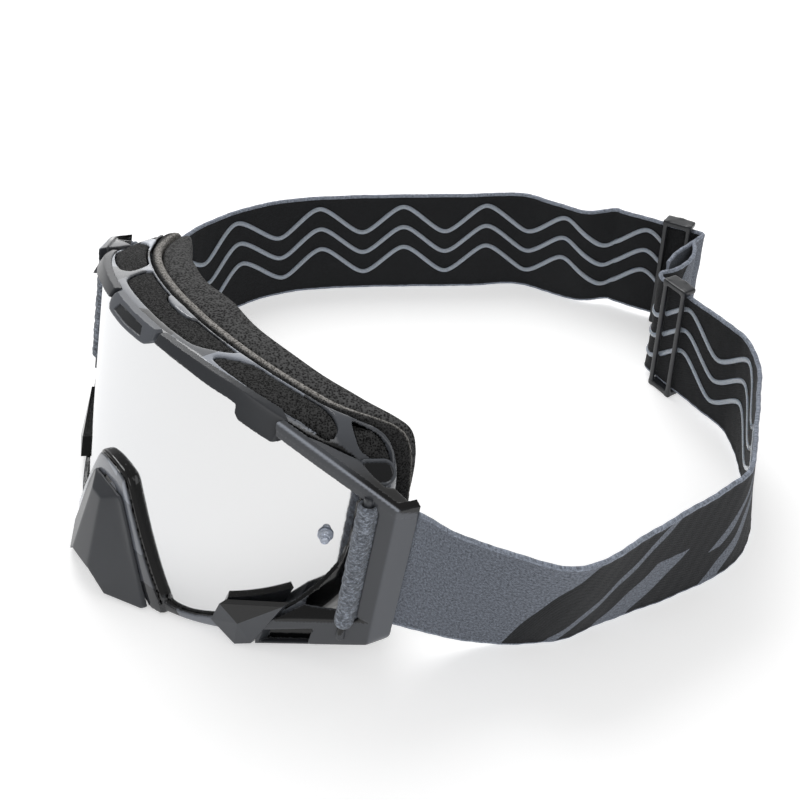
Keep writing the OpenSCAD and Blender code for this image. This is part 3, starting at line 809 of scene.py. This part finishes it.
def pad_depth(x):
    return BASE_T + PAD_T - PAD_THINNER * at_temple(x) + BULGE * (1 - ramp(abs(x), 0, 30))


def foam_outline(x, z, inset):
    """The frame's outline at its rear edge, made smaller by inset."""
    return outline_distance(REAR_OUTLINE, abs(x), z) + inset


def foam_base_field(x, y, z):
    edge = largest(foam_outline(x, z, 0.3), underside(z, y, 0.5))
    depth = smooth_max(-behind_back(x, y, 0.1), behind_back(x, y, base_depth(x) + 0.4), 0.8)
    body = smooth_max(edge, depth, 1.2)
    eyes = outline_distance(EYES, abs(x), z)
    return smooth_max(body, -eyes, 1.2)


def base_shade(x, y, z):
    """1 on the layer's rear ridge, which is a lighter, warmer grey."""
    return ramp(behind_back(x, y, base_depth(x) - 2.6 + 1.2 * at_temple(x)), -0.5, 0.5)


def pad_field(x, y, z, skin=0.0):
    """The padded part: rounded towards the face and the eyes, and thinner at the temples."""
    puff = 0.25 * np.sin(x * 0.21 + z * 0.13)
    edge = largest(foam_outline(x, z, 0.7 + 0.6 * at_temple(x)), underside(z, y, 0.6)) + puff * 0.5
    depth = smooth_max(-behind_back(x, y, base_depth(x) - 0.4), behind_back(x, y, pad_depth(x)), 1.0)
    body = smooth_max(edge, depth + puff, 2.6)
    return smooth_max(body, -outline_distance(EYES, abs(x), z) + 0.6, 3.4) + skin


def fleece_field(x, y, z):
    outside = pad_field(x, y, z)
    inner = outline_distance(EYES, abs(x), z) - 3.2
    keep = np.minimum(-inner, -behind_back(x, y, pad_depth(x) - 6.5))
    return largest(outside, -(outside + 1.5), keep)


def core_field(x, y, z):
    return pad_field(x, y, z, 0.25)


piece("face_foam_base_mesh", ["face_foam_base"], foam_base_field, ((-84, 26, -8), (84, 76, 94)), STEP * 1.2,
      "base", shade=base_shade)
piece("face_foam_core_mesh", ["face_foam_core"], core_field, ((-84, 30, -6), (84, 86, 94)), STEP * 1.4,
      "core")
piece("face_fleece_mesh", ["face_fleece"], fleece_field, ((-84, 30, -6), (84, 86, 94)), STEP * 1.2,
      "fleece")


# ---- nose guard ----

GUARD_OUTLINE = [(-FAR, 29.2), (4, 29.3), (8.6, 28.8), (10.2, 27.2), (14.2, 20.2), (20, 8), (26.4, -4.8),
                 (25.4, -5.9), (13, -6.6), (5.8, -0.4), (-FAR, -0.4)]
GUARD_TOP, GUARD_FOOT = (3.1, 4.2, 25.8), (5.8, 0, 0)
GUARD_MIDDLE = (0, 16, 12)
GUARD_FACETS = [plane(GUARD_TOP, corner, other, GUARD_MIDDLE) for corner, other in (
    ((-3.1, 4.2, 25.8), GUARD_FOOT), (GUARD_FOOT, (20, 10, 8)), ((-3.1, 4.2, 25.8), (0, 7.9, 29.1)))]
GUARD_SKIRT_R = 92.6  # the guard's thin edge lies on the arch out to this radius


def guard_field(x, y, z):
    """A faceted cap round the nose's arch, open towards the frame."""
    side = abs(x)
    facets = [facet(side, y, z) for facet in GUARD_FACETS]
    front = smooth_max(smooth_max(facets[0], facets[1], 0.3), facets[2], 0.3)
    front = smooth_min(front, lens_radius(x, y) - GUARD_SKIRT_R, 0.4)
    shape = smooth_max(front, outline_distance(GUARD_OUTLINE, side, z), 0.5)
    return largest(shape, ARCH_R + 0.15 - lens_radius(x, y), y - 13)


piece("nose_guard_mesh", ["nose_guard"], guard_field, ((-31, -2, -7), (31, 15, 35)), 0.4, "guard",
      "nose_guard_body")


# ---- outriggers ----

ARM_FRONT, ARM_CORNER, ARM_REAR = (57.7, 28.2), (92.3, 50.0), (92.9, 58.2)
SHELL_T = 2.5
ARM_OUTLINE = [(57.7, 83.3), (92.9, 69.2), (93.4, 20.8), (91.4, 17.9), (61.2, 0.8), (61.2, 9.8), (64.4, 12.9),
               (71.5, 22.4), (80.4, 25.6), (86.6, 25.8), (87.2, 26.6), (87.2, 65.6), (86, 67), (81.5, 68.8),
               (70, 73.2), (57.7, 78.2)]
SLOT = [(62.6, 2.9), (63.2, 7.7), (76.5, 15.9), (75.9, 10.3)]
# the slot is a pocket this deep, not a hole; its inside is painted black as shade
SLOT_DEPTH = 3.0
LEDGE = [(57.7, 28.2), (92.3, 50), (93.1, 57.6), (84.1, 54.6), (83.2, 51.4), (79.5, 50), (73, 48.6),
         (70.4, 45.1), (66, 39.8), (61.6, 33)]


def side_of(a, b, x, y):
    """Distance in plan to the line from a to b, negative on its left."""
    dx, dy = b[0] - a[0], b[1] - a[1]
    return ((x - a[0]) * dy - (y - a[1]) * dx) / math.hypot(dx, dy)


LEDGE_TOP = plane((58, 28.6, 83.1), (92.5, 50, 69.2), (93.2, 57.8, 67.6), (80, 50, 0))
LOWER_BEVEL = plane((64.6, 32.5, 12.9), (78.3, 41.2, 20.6), (72.4, 40.2, 24.4), (75, 50, 5))


def outrigger_field(x, y, z):
    """A bent shell with a slot, and the ledge that joins its top to the brow."""
    outside = smooth_max(side_of(ARM_FRONT, ARM_CORNER, x, y), side_of(ARM_CORNER, ARM_REAR, x, y), 0.35)
    thickness = SHELL_T + 2.2 * ramp(-z, -24, -16)
    bevelled = smooth_max(outside, LOWER_BEVEL(x, y, z) - 40 * ramp(z, 27, 32), 0.3)
    shell = smooth_max(bevelled, outline_distance(ARM_OUTLINE, x, z), 0.6)
    shell = largest(shell, -outside - thickness, y - 58)
    top = LEDGE_TOP(x, y, z)
    ledge = smooth_max(smooth_max(outline_distance(LEDGE, x, y), outside, 0.35), top, 0.35)
    frame_side = largest(outline_distance(FRAME_OUTLINE, abs(x), z) - 0.3, lens_radius(x, y) - RIM_R - 0.3)
    ledge = largest(ledge, -top - 2.2, -frame_side)
    # the slot stops at a floor, painted black as shade
    slot = largest(outline_distance(SLOT, x, z), -outside - SLOT_DEPTH)
    return smooth_max(smooth_min(shell, ledge, 0.3), -slot, 0.5)


def outrigger_shade(x, y, z):
    """0 on the glossy black bevel and as painted shade in the slot and on the top facet's rear, a half on the
    plain faces, 1 as a painted highlight along the upper edge.
    """
    x = abs(x)
    above = LEDGE_TOP(x, y, z)
    # painted shade: the top facet darkens to black towards the rear
    top = ramp(above, -0.8, -0.3) * ramp(x, 72, 84)
    bevel = (LOWER_BEVEL(x, y, z) > -0.35) & (z < 27)
    # painted shade: the slot's inside is black
    slot = outline_distance(SLOT, x, z) < -0.1
    # painted light: the rear facet is a little lighter than the front face
    shade = 0.5 * (1 - top) + 0.08 * ramp(side_of(ARM_CORNER, ARM_REAR, x, y), -0.7, -0.2)
    shade = np.where(bevel | slot, 0.0, shade)
    # painted highlight: a light line along the upper edge
    edge = ramp(-abs(above), -0.75, -0.1) * ramp(side_of(ARM_FRONT, ARM_CORNER, x, y), -1.0, -0.4)
    return shade + (1 - shade) * edge


BAR = (84.6, 45.2)  # the strap's bar stands here in plan
BAR_LOW, BAR_HIGH = 17.2, 70.0
BAR_R = 1.4


def from_bar(x, y):
    return np.hypot(x - BAR[0], y - BAR[1])


def outrigger_and_bar(x, y, z):
    return np.minimum(outrigger_field(x, y, z), largest(from_bar(x, y) - BAR_R, BAR_LOW - z, z - BAR_HIGH))


pair("outrigger", outrigger_and_bar, ((55, 25, -2), (96, 61, 86)), 0.5, "arm",
     "outrigger_{}_body", outrigger_shade)


# ---- strap loops ----

LOOP_LOW, LOOP_HIGH = 22.2, 68.2
LOOP_R = 2.8
TAIL = [(83.4, 46.8), (86.9, 47.8), (90, 59.4), (88.2, 60), (84.0, 50)]


def loop_field(x, y, z):
    """The strap's sewn end: a wrinkled roll round the bar and a tail towards the strap."""
    wrinkle = 0.1 * np.sin(z * 0.9 + 1.3 * np.sin(z * 0.31)) + 0.06 * np.sin(z * 2.3 + 2.0 * x)
    roll = from_bar(x, y) - LOOP_R + wrinkle
    cloth = smooth_min(roll, outline_distance(TAIL, x, y) + 0.3 * wrinkle, 1.0)
    cloth = np.maximum(cloth, BAR_R + 0.1 - from_bar(x, y))
    return smooth_max(cloth, smooth_max(LOOP_LOW - z, z - LOOP_HIGH, 0.1), 1.0)


pair("strap_loop", loop_field, ((80, 40, 20), (93, 63, 68)), 0.4, "loop",
     "outrigger_{}_body")


# ---- temple caps and clips ----

CAP_AT = np.array([75.0, 53.9, 70.2])
CAP_NORMAL = Vector((0.72, -0.25, 0.65)).normalized()
CAP_CLEARANCE = 1.8  # room for the outrigger's ledge when it turns inwards


def on_cap(x, y, z):
    """Distance outside the boss's oval outline, and height above its middle."""
    normal = np.array(CAP_NORMAL)
    long_way = np.cross(normal, (0, 0, 1.0))
    long_way /= np.linalg.norm(long_way)
    short_way = np.cross(normal, long_way)
    px, py, pz = x - CAP_AT[0], y - CAP_AT[1], z - CAP_AT[2]
    ways = (long_way, short_way, normal)
    along, across, height = (px * way[0] + py * way[1] + pz * way[2] for way in ways)
    return np.hypot(np.maximum(abs(along) - 2.4, 0), across) - 4.2, height


def cap_field(x, y, z):
    """An oval boss with a raised edge, facing out and up."""
    oval, height = on_cap(x, y, z)
    dish = 0.4 * ramp(-oval, 0.9, 1.3)
    boss = smooth_max(oval, abs(height + dish / 2) - 1.4 + dish / 2, 0.5)
    return smooth_max(boss, CAP_CLEARANCE - outline_distance(LEDGE, x, y), 0.4)


def cap_shade(x, y, z):
    """1 on the raised edge, a painted highlight."""
    return ramp(-on_cap(abs(x), y, z)[0], 1.4, 1.0)


pair("temple_cap", cap_field, ((66, 45, 60), (86, 65, 78)), 0.45, "cap", shade=cap_shade)

CLIP_POINTS = [(48.5, 22.3, 4.1), (50.3, 23.4, 11.5), (57.4, 26.3, 7.8), (61.3, 30.2, 9.0), (61.0, 30.0, 1.2),
               (56.6, 27.0, -1.5), (54.3, 25.6, 0.1), (68.1, 34.6, 20.3), (55.7, 26.2, 3.0)]
CLIP_BACK = 3.0  # the block's depth
CLIP_ROUND = 0.3


def clip(label, side):
    """A faceted block: the hull of its front points and of the same points set back.

    The facets that face up are painted black as shade.
    """
    shape = bmesh.new()
    for x, y, z in CLIP_POINTS:
        for back in (0.0, CLIP_BACK):
            shape.verts.new(Vector(to_table([side * (x - back * 0.3), y + back, z])))
    bmesh.ops.convex_hull(shape, input=shape.verts)
    bmesh.ops.recalc_face_normals(shape, faces=shape.faces)
    mesh = bpy.data.meshes.new("lower_clip_" + label + "_mesh")
    shape.to_mesh(mesh)
    shape.free()
    for look in ("clip", "painted_shade_black"):
        mesh.materials.append(MATERIALS[look])
    for face in mesh.polygons:
        # painted shade: facets that face up take the black
        face.material_index = 1 if face.normal.z > 0.3 else 0
    obj = linked(mesh.name, mesh)
    bevel = obj.modifiers.new("edges", "BEVEL")
    bevel.width = CLIP_ROUND * MM
    bevel.segments = 2
    bevel.limit_method = "ANGLE"
    return obj


for label, side in SIDES.items():
    place(clip(label, side), "frame_body", ["lower_clip_" + label])


# ---- strap ----

STRAP_W, STRAP_T = 45.0, 1.35
EDGE_R = 0.9  # the selvedges are rounded off by this
SLIDE_LIFT = 2.6  # the sliders hold the strap this much above the table


def at_slider(places):
    """Upright rows of a band at the sliders' height."""
    return [(x, y, SLIDE_LIFT, 0, 0) for x, y in places]


def on_run(start, heading, lengths):
    """Rows along a strap's straight run through its slider."""
    angle = math.radians(heading)
    return at_slider([(start[0] + s * math.cos(angle), start[1] + s * math.sin(angle)) for s in lengths])


NEAR_RUN = ((34.5, 233.8), -4.69)  # where each straight run starts, and its heading in degrees
FAR_RUN = ((-14, 257.4), 23.2)
# Rows along a band: x, y, height of the lower edge, and how far the upper edge leans out and along
NEAR_ROWS = [
    (88.9, 62.5, 17, 0, 10), (95.0, 78, 6, 0, 4), (103.5, 92, 0.8, 2, 0), (111.6, 105, 0, 8.6, 0),
    (115.4, 114, 0, 11, 0), (117.4, 128, 0, 9.4, 0), (122, 150, 0, 4.7, 0), (124.4, 168, 0, 2, 0),
    (124.4, 180, 0, 0, 0), (119.6, 194, 0, -4.5, 0), (106.5, 209.5, 0, -4, 0), (89.5, 223, 0.6, 0, 0),
    (78, 229.4, 2.2, 0, 0), (70, 230.9, SLIDE_LIFT, 0, 0)] + on_run(*NEAR_RUN, (30, 18, 7, 0))
OUTER_LINK_ROWS = on_run(*NEAR_RUN, (0, -3.5)) + at_slider(
    [(28.2, 236.4), (29.8, 243), (28.6, 251), (24.6, 258.4), (19.4, 263.6)])
FAR_ROWS = [
    (-89.6, 62.5, 17, 0, 10), (-96.0, 78, 6, 0, 4), (-104, 96, 1, 1, 0), (-109, 115, 0, 3, 0),
    (-109.6, 134, 0, 3, 0), (-105, 152, 0, 3, 0), (-94, 172, 0, 3, 0), (-80, 193, 0, 3, 0),
    (-64, 216, 0, 3, 0), (-53, 234, 0, 2, 0), (-40, 241, 0, 1, 0), (-26, 247, 0.6, 0, 0)
] + on_run(*FAR_RUN, (-4, 0, 12, 24, 30.5))
INNER_LINK_ROWS = on_run(*FAR_RUN, (30.5, 34)) + at_slider(
    [(18.6, 268.4), (19.8, 260.4), (21.4, 252), (24.4, 244)])


class Band:
    """A strip of webbing along control rows, with a place for every (along, up, out) in mm."""

    def __init__(self, rows, side, start=0.0):
        line = smooth_line(rows, 10)
        base = line[:, :3]
        tangent = np.gradient(base[:, :2], axis=0)
        tangent /= np.linalg.norm(tangent, axis=1)[:, None]
        outward = np.stack([tangent[:, 1], -tangent[:, 0]], 1) * side
        lean = outward * line[:, 3:4] + tangent * line[:, 4:5] * (1 if rows[1][1] > rows[0][1] else -1)
        height = np.sqrt(np.maximum(STRAP_W ** 2 - (lean ** 2).sum(1), 100))
        self.base = base
        self.up = np.column_stack([lean, height]) / STRAP_W
        forward = np.column_stack([tangent, np.zeros(len(tangent))])
        normal = np.cross(forward, self.up) * side
        self.out = normal / np.linalg.norm(normal, axis=1)[:, None]
        steps = np.linalg.norm(np.diff(base[:, :2], axis=0), axis=1)
        self.along = start + np.concatenate([[0], np.cumsum(steps)])
        self.start, self.end = self.along[0], self.along[-1]

    def row_at(self, along, rows):
        return np.stack([np.interp(along, self.along, rows[:, i]) for i in range(3)], -1)

    def place(self, along, up, out):
        """Row-frame points in metres."""
        across = self.row_at(along, self.up) * np.asarray(up)[..., None]
        proud = self.row_at(along, self.out) * np.asarray(out)[..., None]
        return (self.row_at(along, self.base) + across + proud - CENTRE) * MM


def swept(name, rings, material, flip):
    """A mesh through rings of points, and the numbers of the points in each ring."""
    count, m = rings.shape[:2]
    index = np.arange(count * m).reshape(count, m)
    rolled = np.roll(index, -1, axis=1)
    quads = np.stack([index[:-1], index[1:], rolled[1:], rolled[:-1]], -1)
    if flip:
        quads = quads[..., ::-1]
    return mesh_object(name, rings.reshape(-1, 3), quads.reshape(-1, 4), material), index


def band_section():
    """The band's section: up, out and cloth (0 outside, 1 inside, 2 edge) round it."""
    half = STRAP_T / 2
    ups = np.concatenate([np.linspace(1.2, 3.2, 4), np.linspace(5, STRAP_W - 5, 16),
                          np.linspace(STRAP_W - 3.2, STRAP_W - 1.2, 4)])
    from_edge = np.minimum(ups, STRAP_W - ups)
    outs = half - 0.1 + 0.22 * np.exp(-((from_edge - 1.2) / 0.9) ** 2)
    turns = np.radians([70, 40, 0, -40, -70])
    rounding = [(EDGE_R * math.cos(a), (half + 0.12) * math.sin(a)) for a in turns]
    rows = [(up, out, 0) for up, out in zip(ups, outs)]
    rows += [(STRAP_W - EDGE_R + past, out, 2) for past, out in rounding]
    rows += [(up, -out, 1) for up, out in zip(ups[::-1], outs[::-1])]
    rows += [(EDGE_R - past, -out, 2) for past, out in rounding]
    return np.array(rows)


def band_mesh(name, band, side, materials, step=1.5):
    """The webbing, rippled, with UVs in mm along and across it."""
    up, out, cloth = (row[None, :] for row in band_section().T)
    count = max(int((band.end - band.start) / step), 8)
    along = np.linspace(band.start, band.end, count)[:, None]
    ripple = 0.12 * np.sin(along * 0.35 + up * 0.2) + 0.08 * np.sin(along * 1.1 - up * 0.5)
    along, up = np.broadcast_arrays(along, up)
    obj, index = swept(name, band.place(along, up, out + ripple), materials[0], side < 0)
    for material in materials[1:]:
        obj.data.materials.append(material)
    faces = np.maximum(cloth, np.roll(cloth, -1))[0]
    obj.data.polygons.foreach_set("material_index", np.tile(faces, count - 1).astype(np.int32))
    corner = np.empty(len(obj.data.loops), np.int32)
    obj.data.loops.foreach_get("vertex_index", corner)
    uv = np.stack([along.ravel()[corner], up.ravel()[corner]], 1)
    obj.data.uv_layers.new(name="along_across").data.foreach_set("uv", uv.astype(np.float32).ravel())
    cap_ends(obj, index)
    return obj


def cap_ends(obj, index):
    """Closes a swept mesh's two ends."""
    shape = bmesh.new()
    shape.from_mesh(obj.data)
    shape.verts.ensure_lookup_table()
    for ring in (index[0], index[-1][::-1]):
        shape.faces.new([shape.verts[int(i)] for i in ring]).material_index = 2
    shape.to_mesh(obj.data)
    shape.free()


near_band = Band(NEAR_ROWS, 1)
outer_link = Band(OUTER_LINK_ROWS, 1, near_band.end)
far_band = Band(FAR_ROWS, -1)
inner_link = Band(INNER_LINK_ROWS, -1, far_band.end)

# Slashes on the outer face: start, width, slant, the part of the width they cover, dark or light
SLASHES = [(36, 200, 0.55, 0, 45, 1), (49, 4, 0.9, 0, 45, 0), (66, 13, 0.9, 0, 24, 0),
           (96, 5, 0.9, 16, 45, 0), (108, 8, 0.9, 0, 45, 0)]
CLOTHS = [webbing("strap_outer", 104, 30, SLASHES), MATERIALS["inner"], MATERIALS["selvedge"]]

near_strap = band_mesh("strap_near_band", near_band, 1, CLOTHS)
far_strap = band_mesh("strap_far_band", far_band, -1, CLOTHS)
outer_strap = band_mesh("strap_outer_link", outer_link, 1, CLOTHS, 1.0)
inner_strap = band_mesh("strap_inner_link", inner_link, -1, CLOTHS, 1.0)


BEAD_PITCH, BEAD_SWING, BEAD_PERIOD, BEAD_SHARPNESS = 9.6, 5.9, 36.0, 0.8
BEAD_W, BEAD_H = 2.0, 0.55
BEAD_RAISED = 1.4  # the middle bead runs this far above the strap's middle
BEAD_SHIFT = {1: 0.0, -1: -11.9}  # how far the waves are moved along each strap


def bead(name, band, side, offset, first, last):
    """A wavy silicone bead on the band's inner face, between two lengths along it."""
    along = np.arange(first, last, 0.8)
    turn = (along - BEAD_SHIFT[side]) * 2 * math.pi / BEAD_PERIOD
    wave = np.arcsin(BEAD_SHARPNESS * np.sin(turn)) / math.asin(BEAD_SHARPNESS)
    up = STRAP_W / 2 + BEAD_RAISED + offset * BEAD_PITCH + BEAD_SWING * wave
    tangent = np.stack([np.gradient(along), np.gradient(up)], 1)
    tangent /= np.linalg.norm(tangent, axis=1)[:, None]
    dome = [(-BEAD_W / 2 * math.cos(a), BEAD_H * math.sin(a)) for a in np.linspace(0, math.pi, 7)]
    sideways, proud = (row[None, :] for row in np.array(dome + [(0.6, -0.25), (-0.6, -0.25)]).T)
    u = along[:, None] - tangent[:, 1:] * sideways
    h = up[:, None] + tangent[:, :1] * sideways
    rings = band.place(u, h, -(STRAP_T / 2 + proud) + 0 * u)
    return swept(name, rings, MATERIALS["silicone"], side > 0)[0]


def three_beads(name, band, side, first, last):
    return [bead(f"grip_bead_{name}_{k + 2}", band, side, k, first, last) for k in (-1, 0, 1)]


near_beads = three_beads("near", near_band, 1, near_band.start + 52, near_band.end - 2)
far_beads = three_beads("far", far_band, -1, far_band.start + 30, far_band.end - 12)
fold_beads = three_beads("fold", outer_link, 1, outer_link.start + 1, outer_link.start + 22)


def ride_band(objects, node):
    """Band pieces stand for a CAD node, with their placing baked into their meshes."""
    for obj in objects:
        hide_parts(node)
        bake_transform(obj)


ride_band([near_strap], "strap_left")
ride_band([far_strap], "strap_right")
ride_band(near_beads, "grip_beads_left")
ride_band(far_beads, "grip_beads_right")
place(outer_strap, "frame_body", ["strap_left"])
place(inner_strap, "frame_body", ["strap_right"])
for obj in fold_beads:
    place(obj, "frame_body", ["grip_beads_left"])


# ---- sliders ----

SLIDER_H, SLIDER_LEN = 50.0, 12.0
SLIDER_BARS = [
    ((-SLIDER_LEN / 2, -3.3, 0), (SLIDER_LEN / 2, 2.7, 2.3)),
    ((-SLIDER_LEN / 2, -3.3, SLIDER_H - 2.3), (SLIDER_LEN / 2, 2.7, SLIDER_H)),
    ((-1.1, 1.1, 0), (1.1, 2.7, SLIDER_H)),
    ((-SLIDER_LEN / 2, -3.3, 0), (2.2 - SLIDER_LEN / 2, -1.7, SLIDER_H)),
    ((SLIDER_LEN / 2 - 2.2, -3.3, 0), (SLIDER_LEN / 2, -1.7, SLIDER_H))]


def slider_field(x, y, z):
    """A tri-glide: two end plates, a bar outside the strap and two bars inside it."""
    field = box_field(x, y, z, *SLIDER_BARS[0])
    for low, high in SLIDER_BARS[1:]:
        field = smooth_min(field, box_field(x, y, z, low, high), 0.4)
    return field


def slider(label):
    """Meshed in its own axes, then turned and moved to its CAD box's middle."""
    name = "slider_" + label
    points, quads = surface_net(slider_field, (-8, -4.4, -1), (8, 4, 51), 0.4)
    points, normals = settle(slider_field, points, 0.4)
    travel = JOINTS[name + "_slide"]["axis"]
    heading = math.atan2(travel[1], travel[0]) + (math.pi if label == "right" else 0)
    cos, sin = math.cos(heading), math.sin(heading)
    turn = np.array([[cos, -sin, 0], [sin, cos, 0], [0, 0, 1]])
    low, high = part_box(name)
    middle = np.array([(low.x + high.x) / 2, (low.y + high.y) / 2, low.z]) / MM
    own_middle = turn @ np.array([0, -0.3, 0])
    obj = mesh_object(name + "_mesh", (points @ turn.T + middle - own_middle) * MM, quads,
                      MATERIALS["slider"], normals @ turn.T)
    place(obj, name + "_body", [name])


for label in SIDES:
    slider(label)


# ---- stage ----

SKY_ON_MATT = 0.5  # the sky's strength on matt surfaces
SKY_LOW, SKY_LOBE = 0.35, 1.4  # its strength in reflections, away from and towards the window
WINDOW_WAY = (-0.82, 0.57, 0.05)  # direction of the bright window
LAMPS_AIM = (0, 0, 0.03)
FLOOR_HALF = 12.0
CAMERA_AT = (0.29347, -0.221475, 0.30868)
CAMERA_TURN, CAMERA_DOWN = math.radians(54.07), math.radians(38.41)
CAMERA_LENS = 56.25


def world():
    """An even white sky for matt surfaces, and a bright window at one side in reflections."""
    studio = bpy.data.worlds.new("studio")
    studio.use_nodes = True
    n = Nodes("studio_sky", studio.node_tree)
    ways = n.add("ShaderNodeTexCoord").outputs["Generated"]
    towards = n.add("ShaderNodeVectorMath", {0: ways, 1: WINDOW_WAY}, operation="DOT_PRODUCT")
    lobe = n.math("POWER", n.math("MAXIMUM", towards.outputs["Value"], 0.0), 6.0)
    matt = n.add("ShaderNodeLightPath").outputs["Is Diffuse Ray"]
    strength = n.add("ShaderNodeMix", {"Factor": matt, "A": n.plus(n.times(lobe, SKY_LOBE), SKY_LOW),
                                       "B": SKY_ON_MATT}).outputs["Result"]
    background = n.tree.nodes["Background"]
    n.feed(background.inputs["Color"], NEUTRAL)
    n.feed(background.inputs["Strength"], strength)
    bpy.context.scene.world = studio


def floor():
    shape = bmesh.new()
    bmesh.ops.create_grid(shape, x_segments=8, y_segments=8, size=FLOOR_HALF)
    mesh = bpy.data.meshes.new("floor")
    shape.to_mesh(mesh)
    shape.free()
    n = Nodes("floor_white")
    mesh.materials.append(n.set(Base_Color=(0.8, 0.8, 0.8), Roughness=0.7, Emission_Color=(1, 1, 1),
                                Emission_Strength=0.45, Specular_IOR_Level=0.0))
    linked("floor", mesh)


def lamp(name, where, size, power):
    light = bpy.data.lights.new(name, "AREA")
    light.size = size
    light.energy = power
    obj = linked(name, light)
    obj.location = where
    obj.rotation_euler = (Vector(LAMPS_AIM) - Vector(where)).to_track_quat("-Z", "Y").to_euler()


def camera():
    """The camera stands off the goggles' left front corner, looking down on them."""
    data = bpy.data.cameras.new("camera")
    data.lens = CAMERA_LENS
    data.sensor_width = 36.0
    obj = linked("camera", data)
    obj.location = CAMERA_AT
    level = math.cos(CAMERA_DOWN)
    ahead = Vector((-math.sin(CAMERA_TURN) * level, math.cos(CAMERA_TURN) * level, -math.sin(CAMERA_DOWN)))
    obj.rotation_euler = ahead.to_track_quat("-Z", "Y").to_euler()
    bpy.context.scene.camera = obj


world()
floor()
lamp("key", (-0.55, 0.22, 0.8), 0.6, 5.0)
lamp("fill", (0.8, -0.53, 0.9), 0.7, 2.2)
camera()
bpy.context.scene.view_settings.view_transform = "Standard"
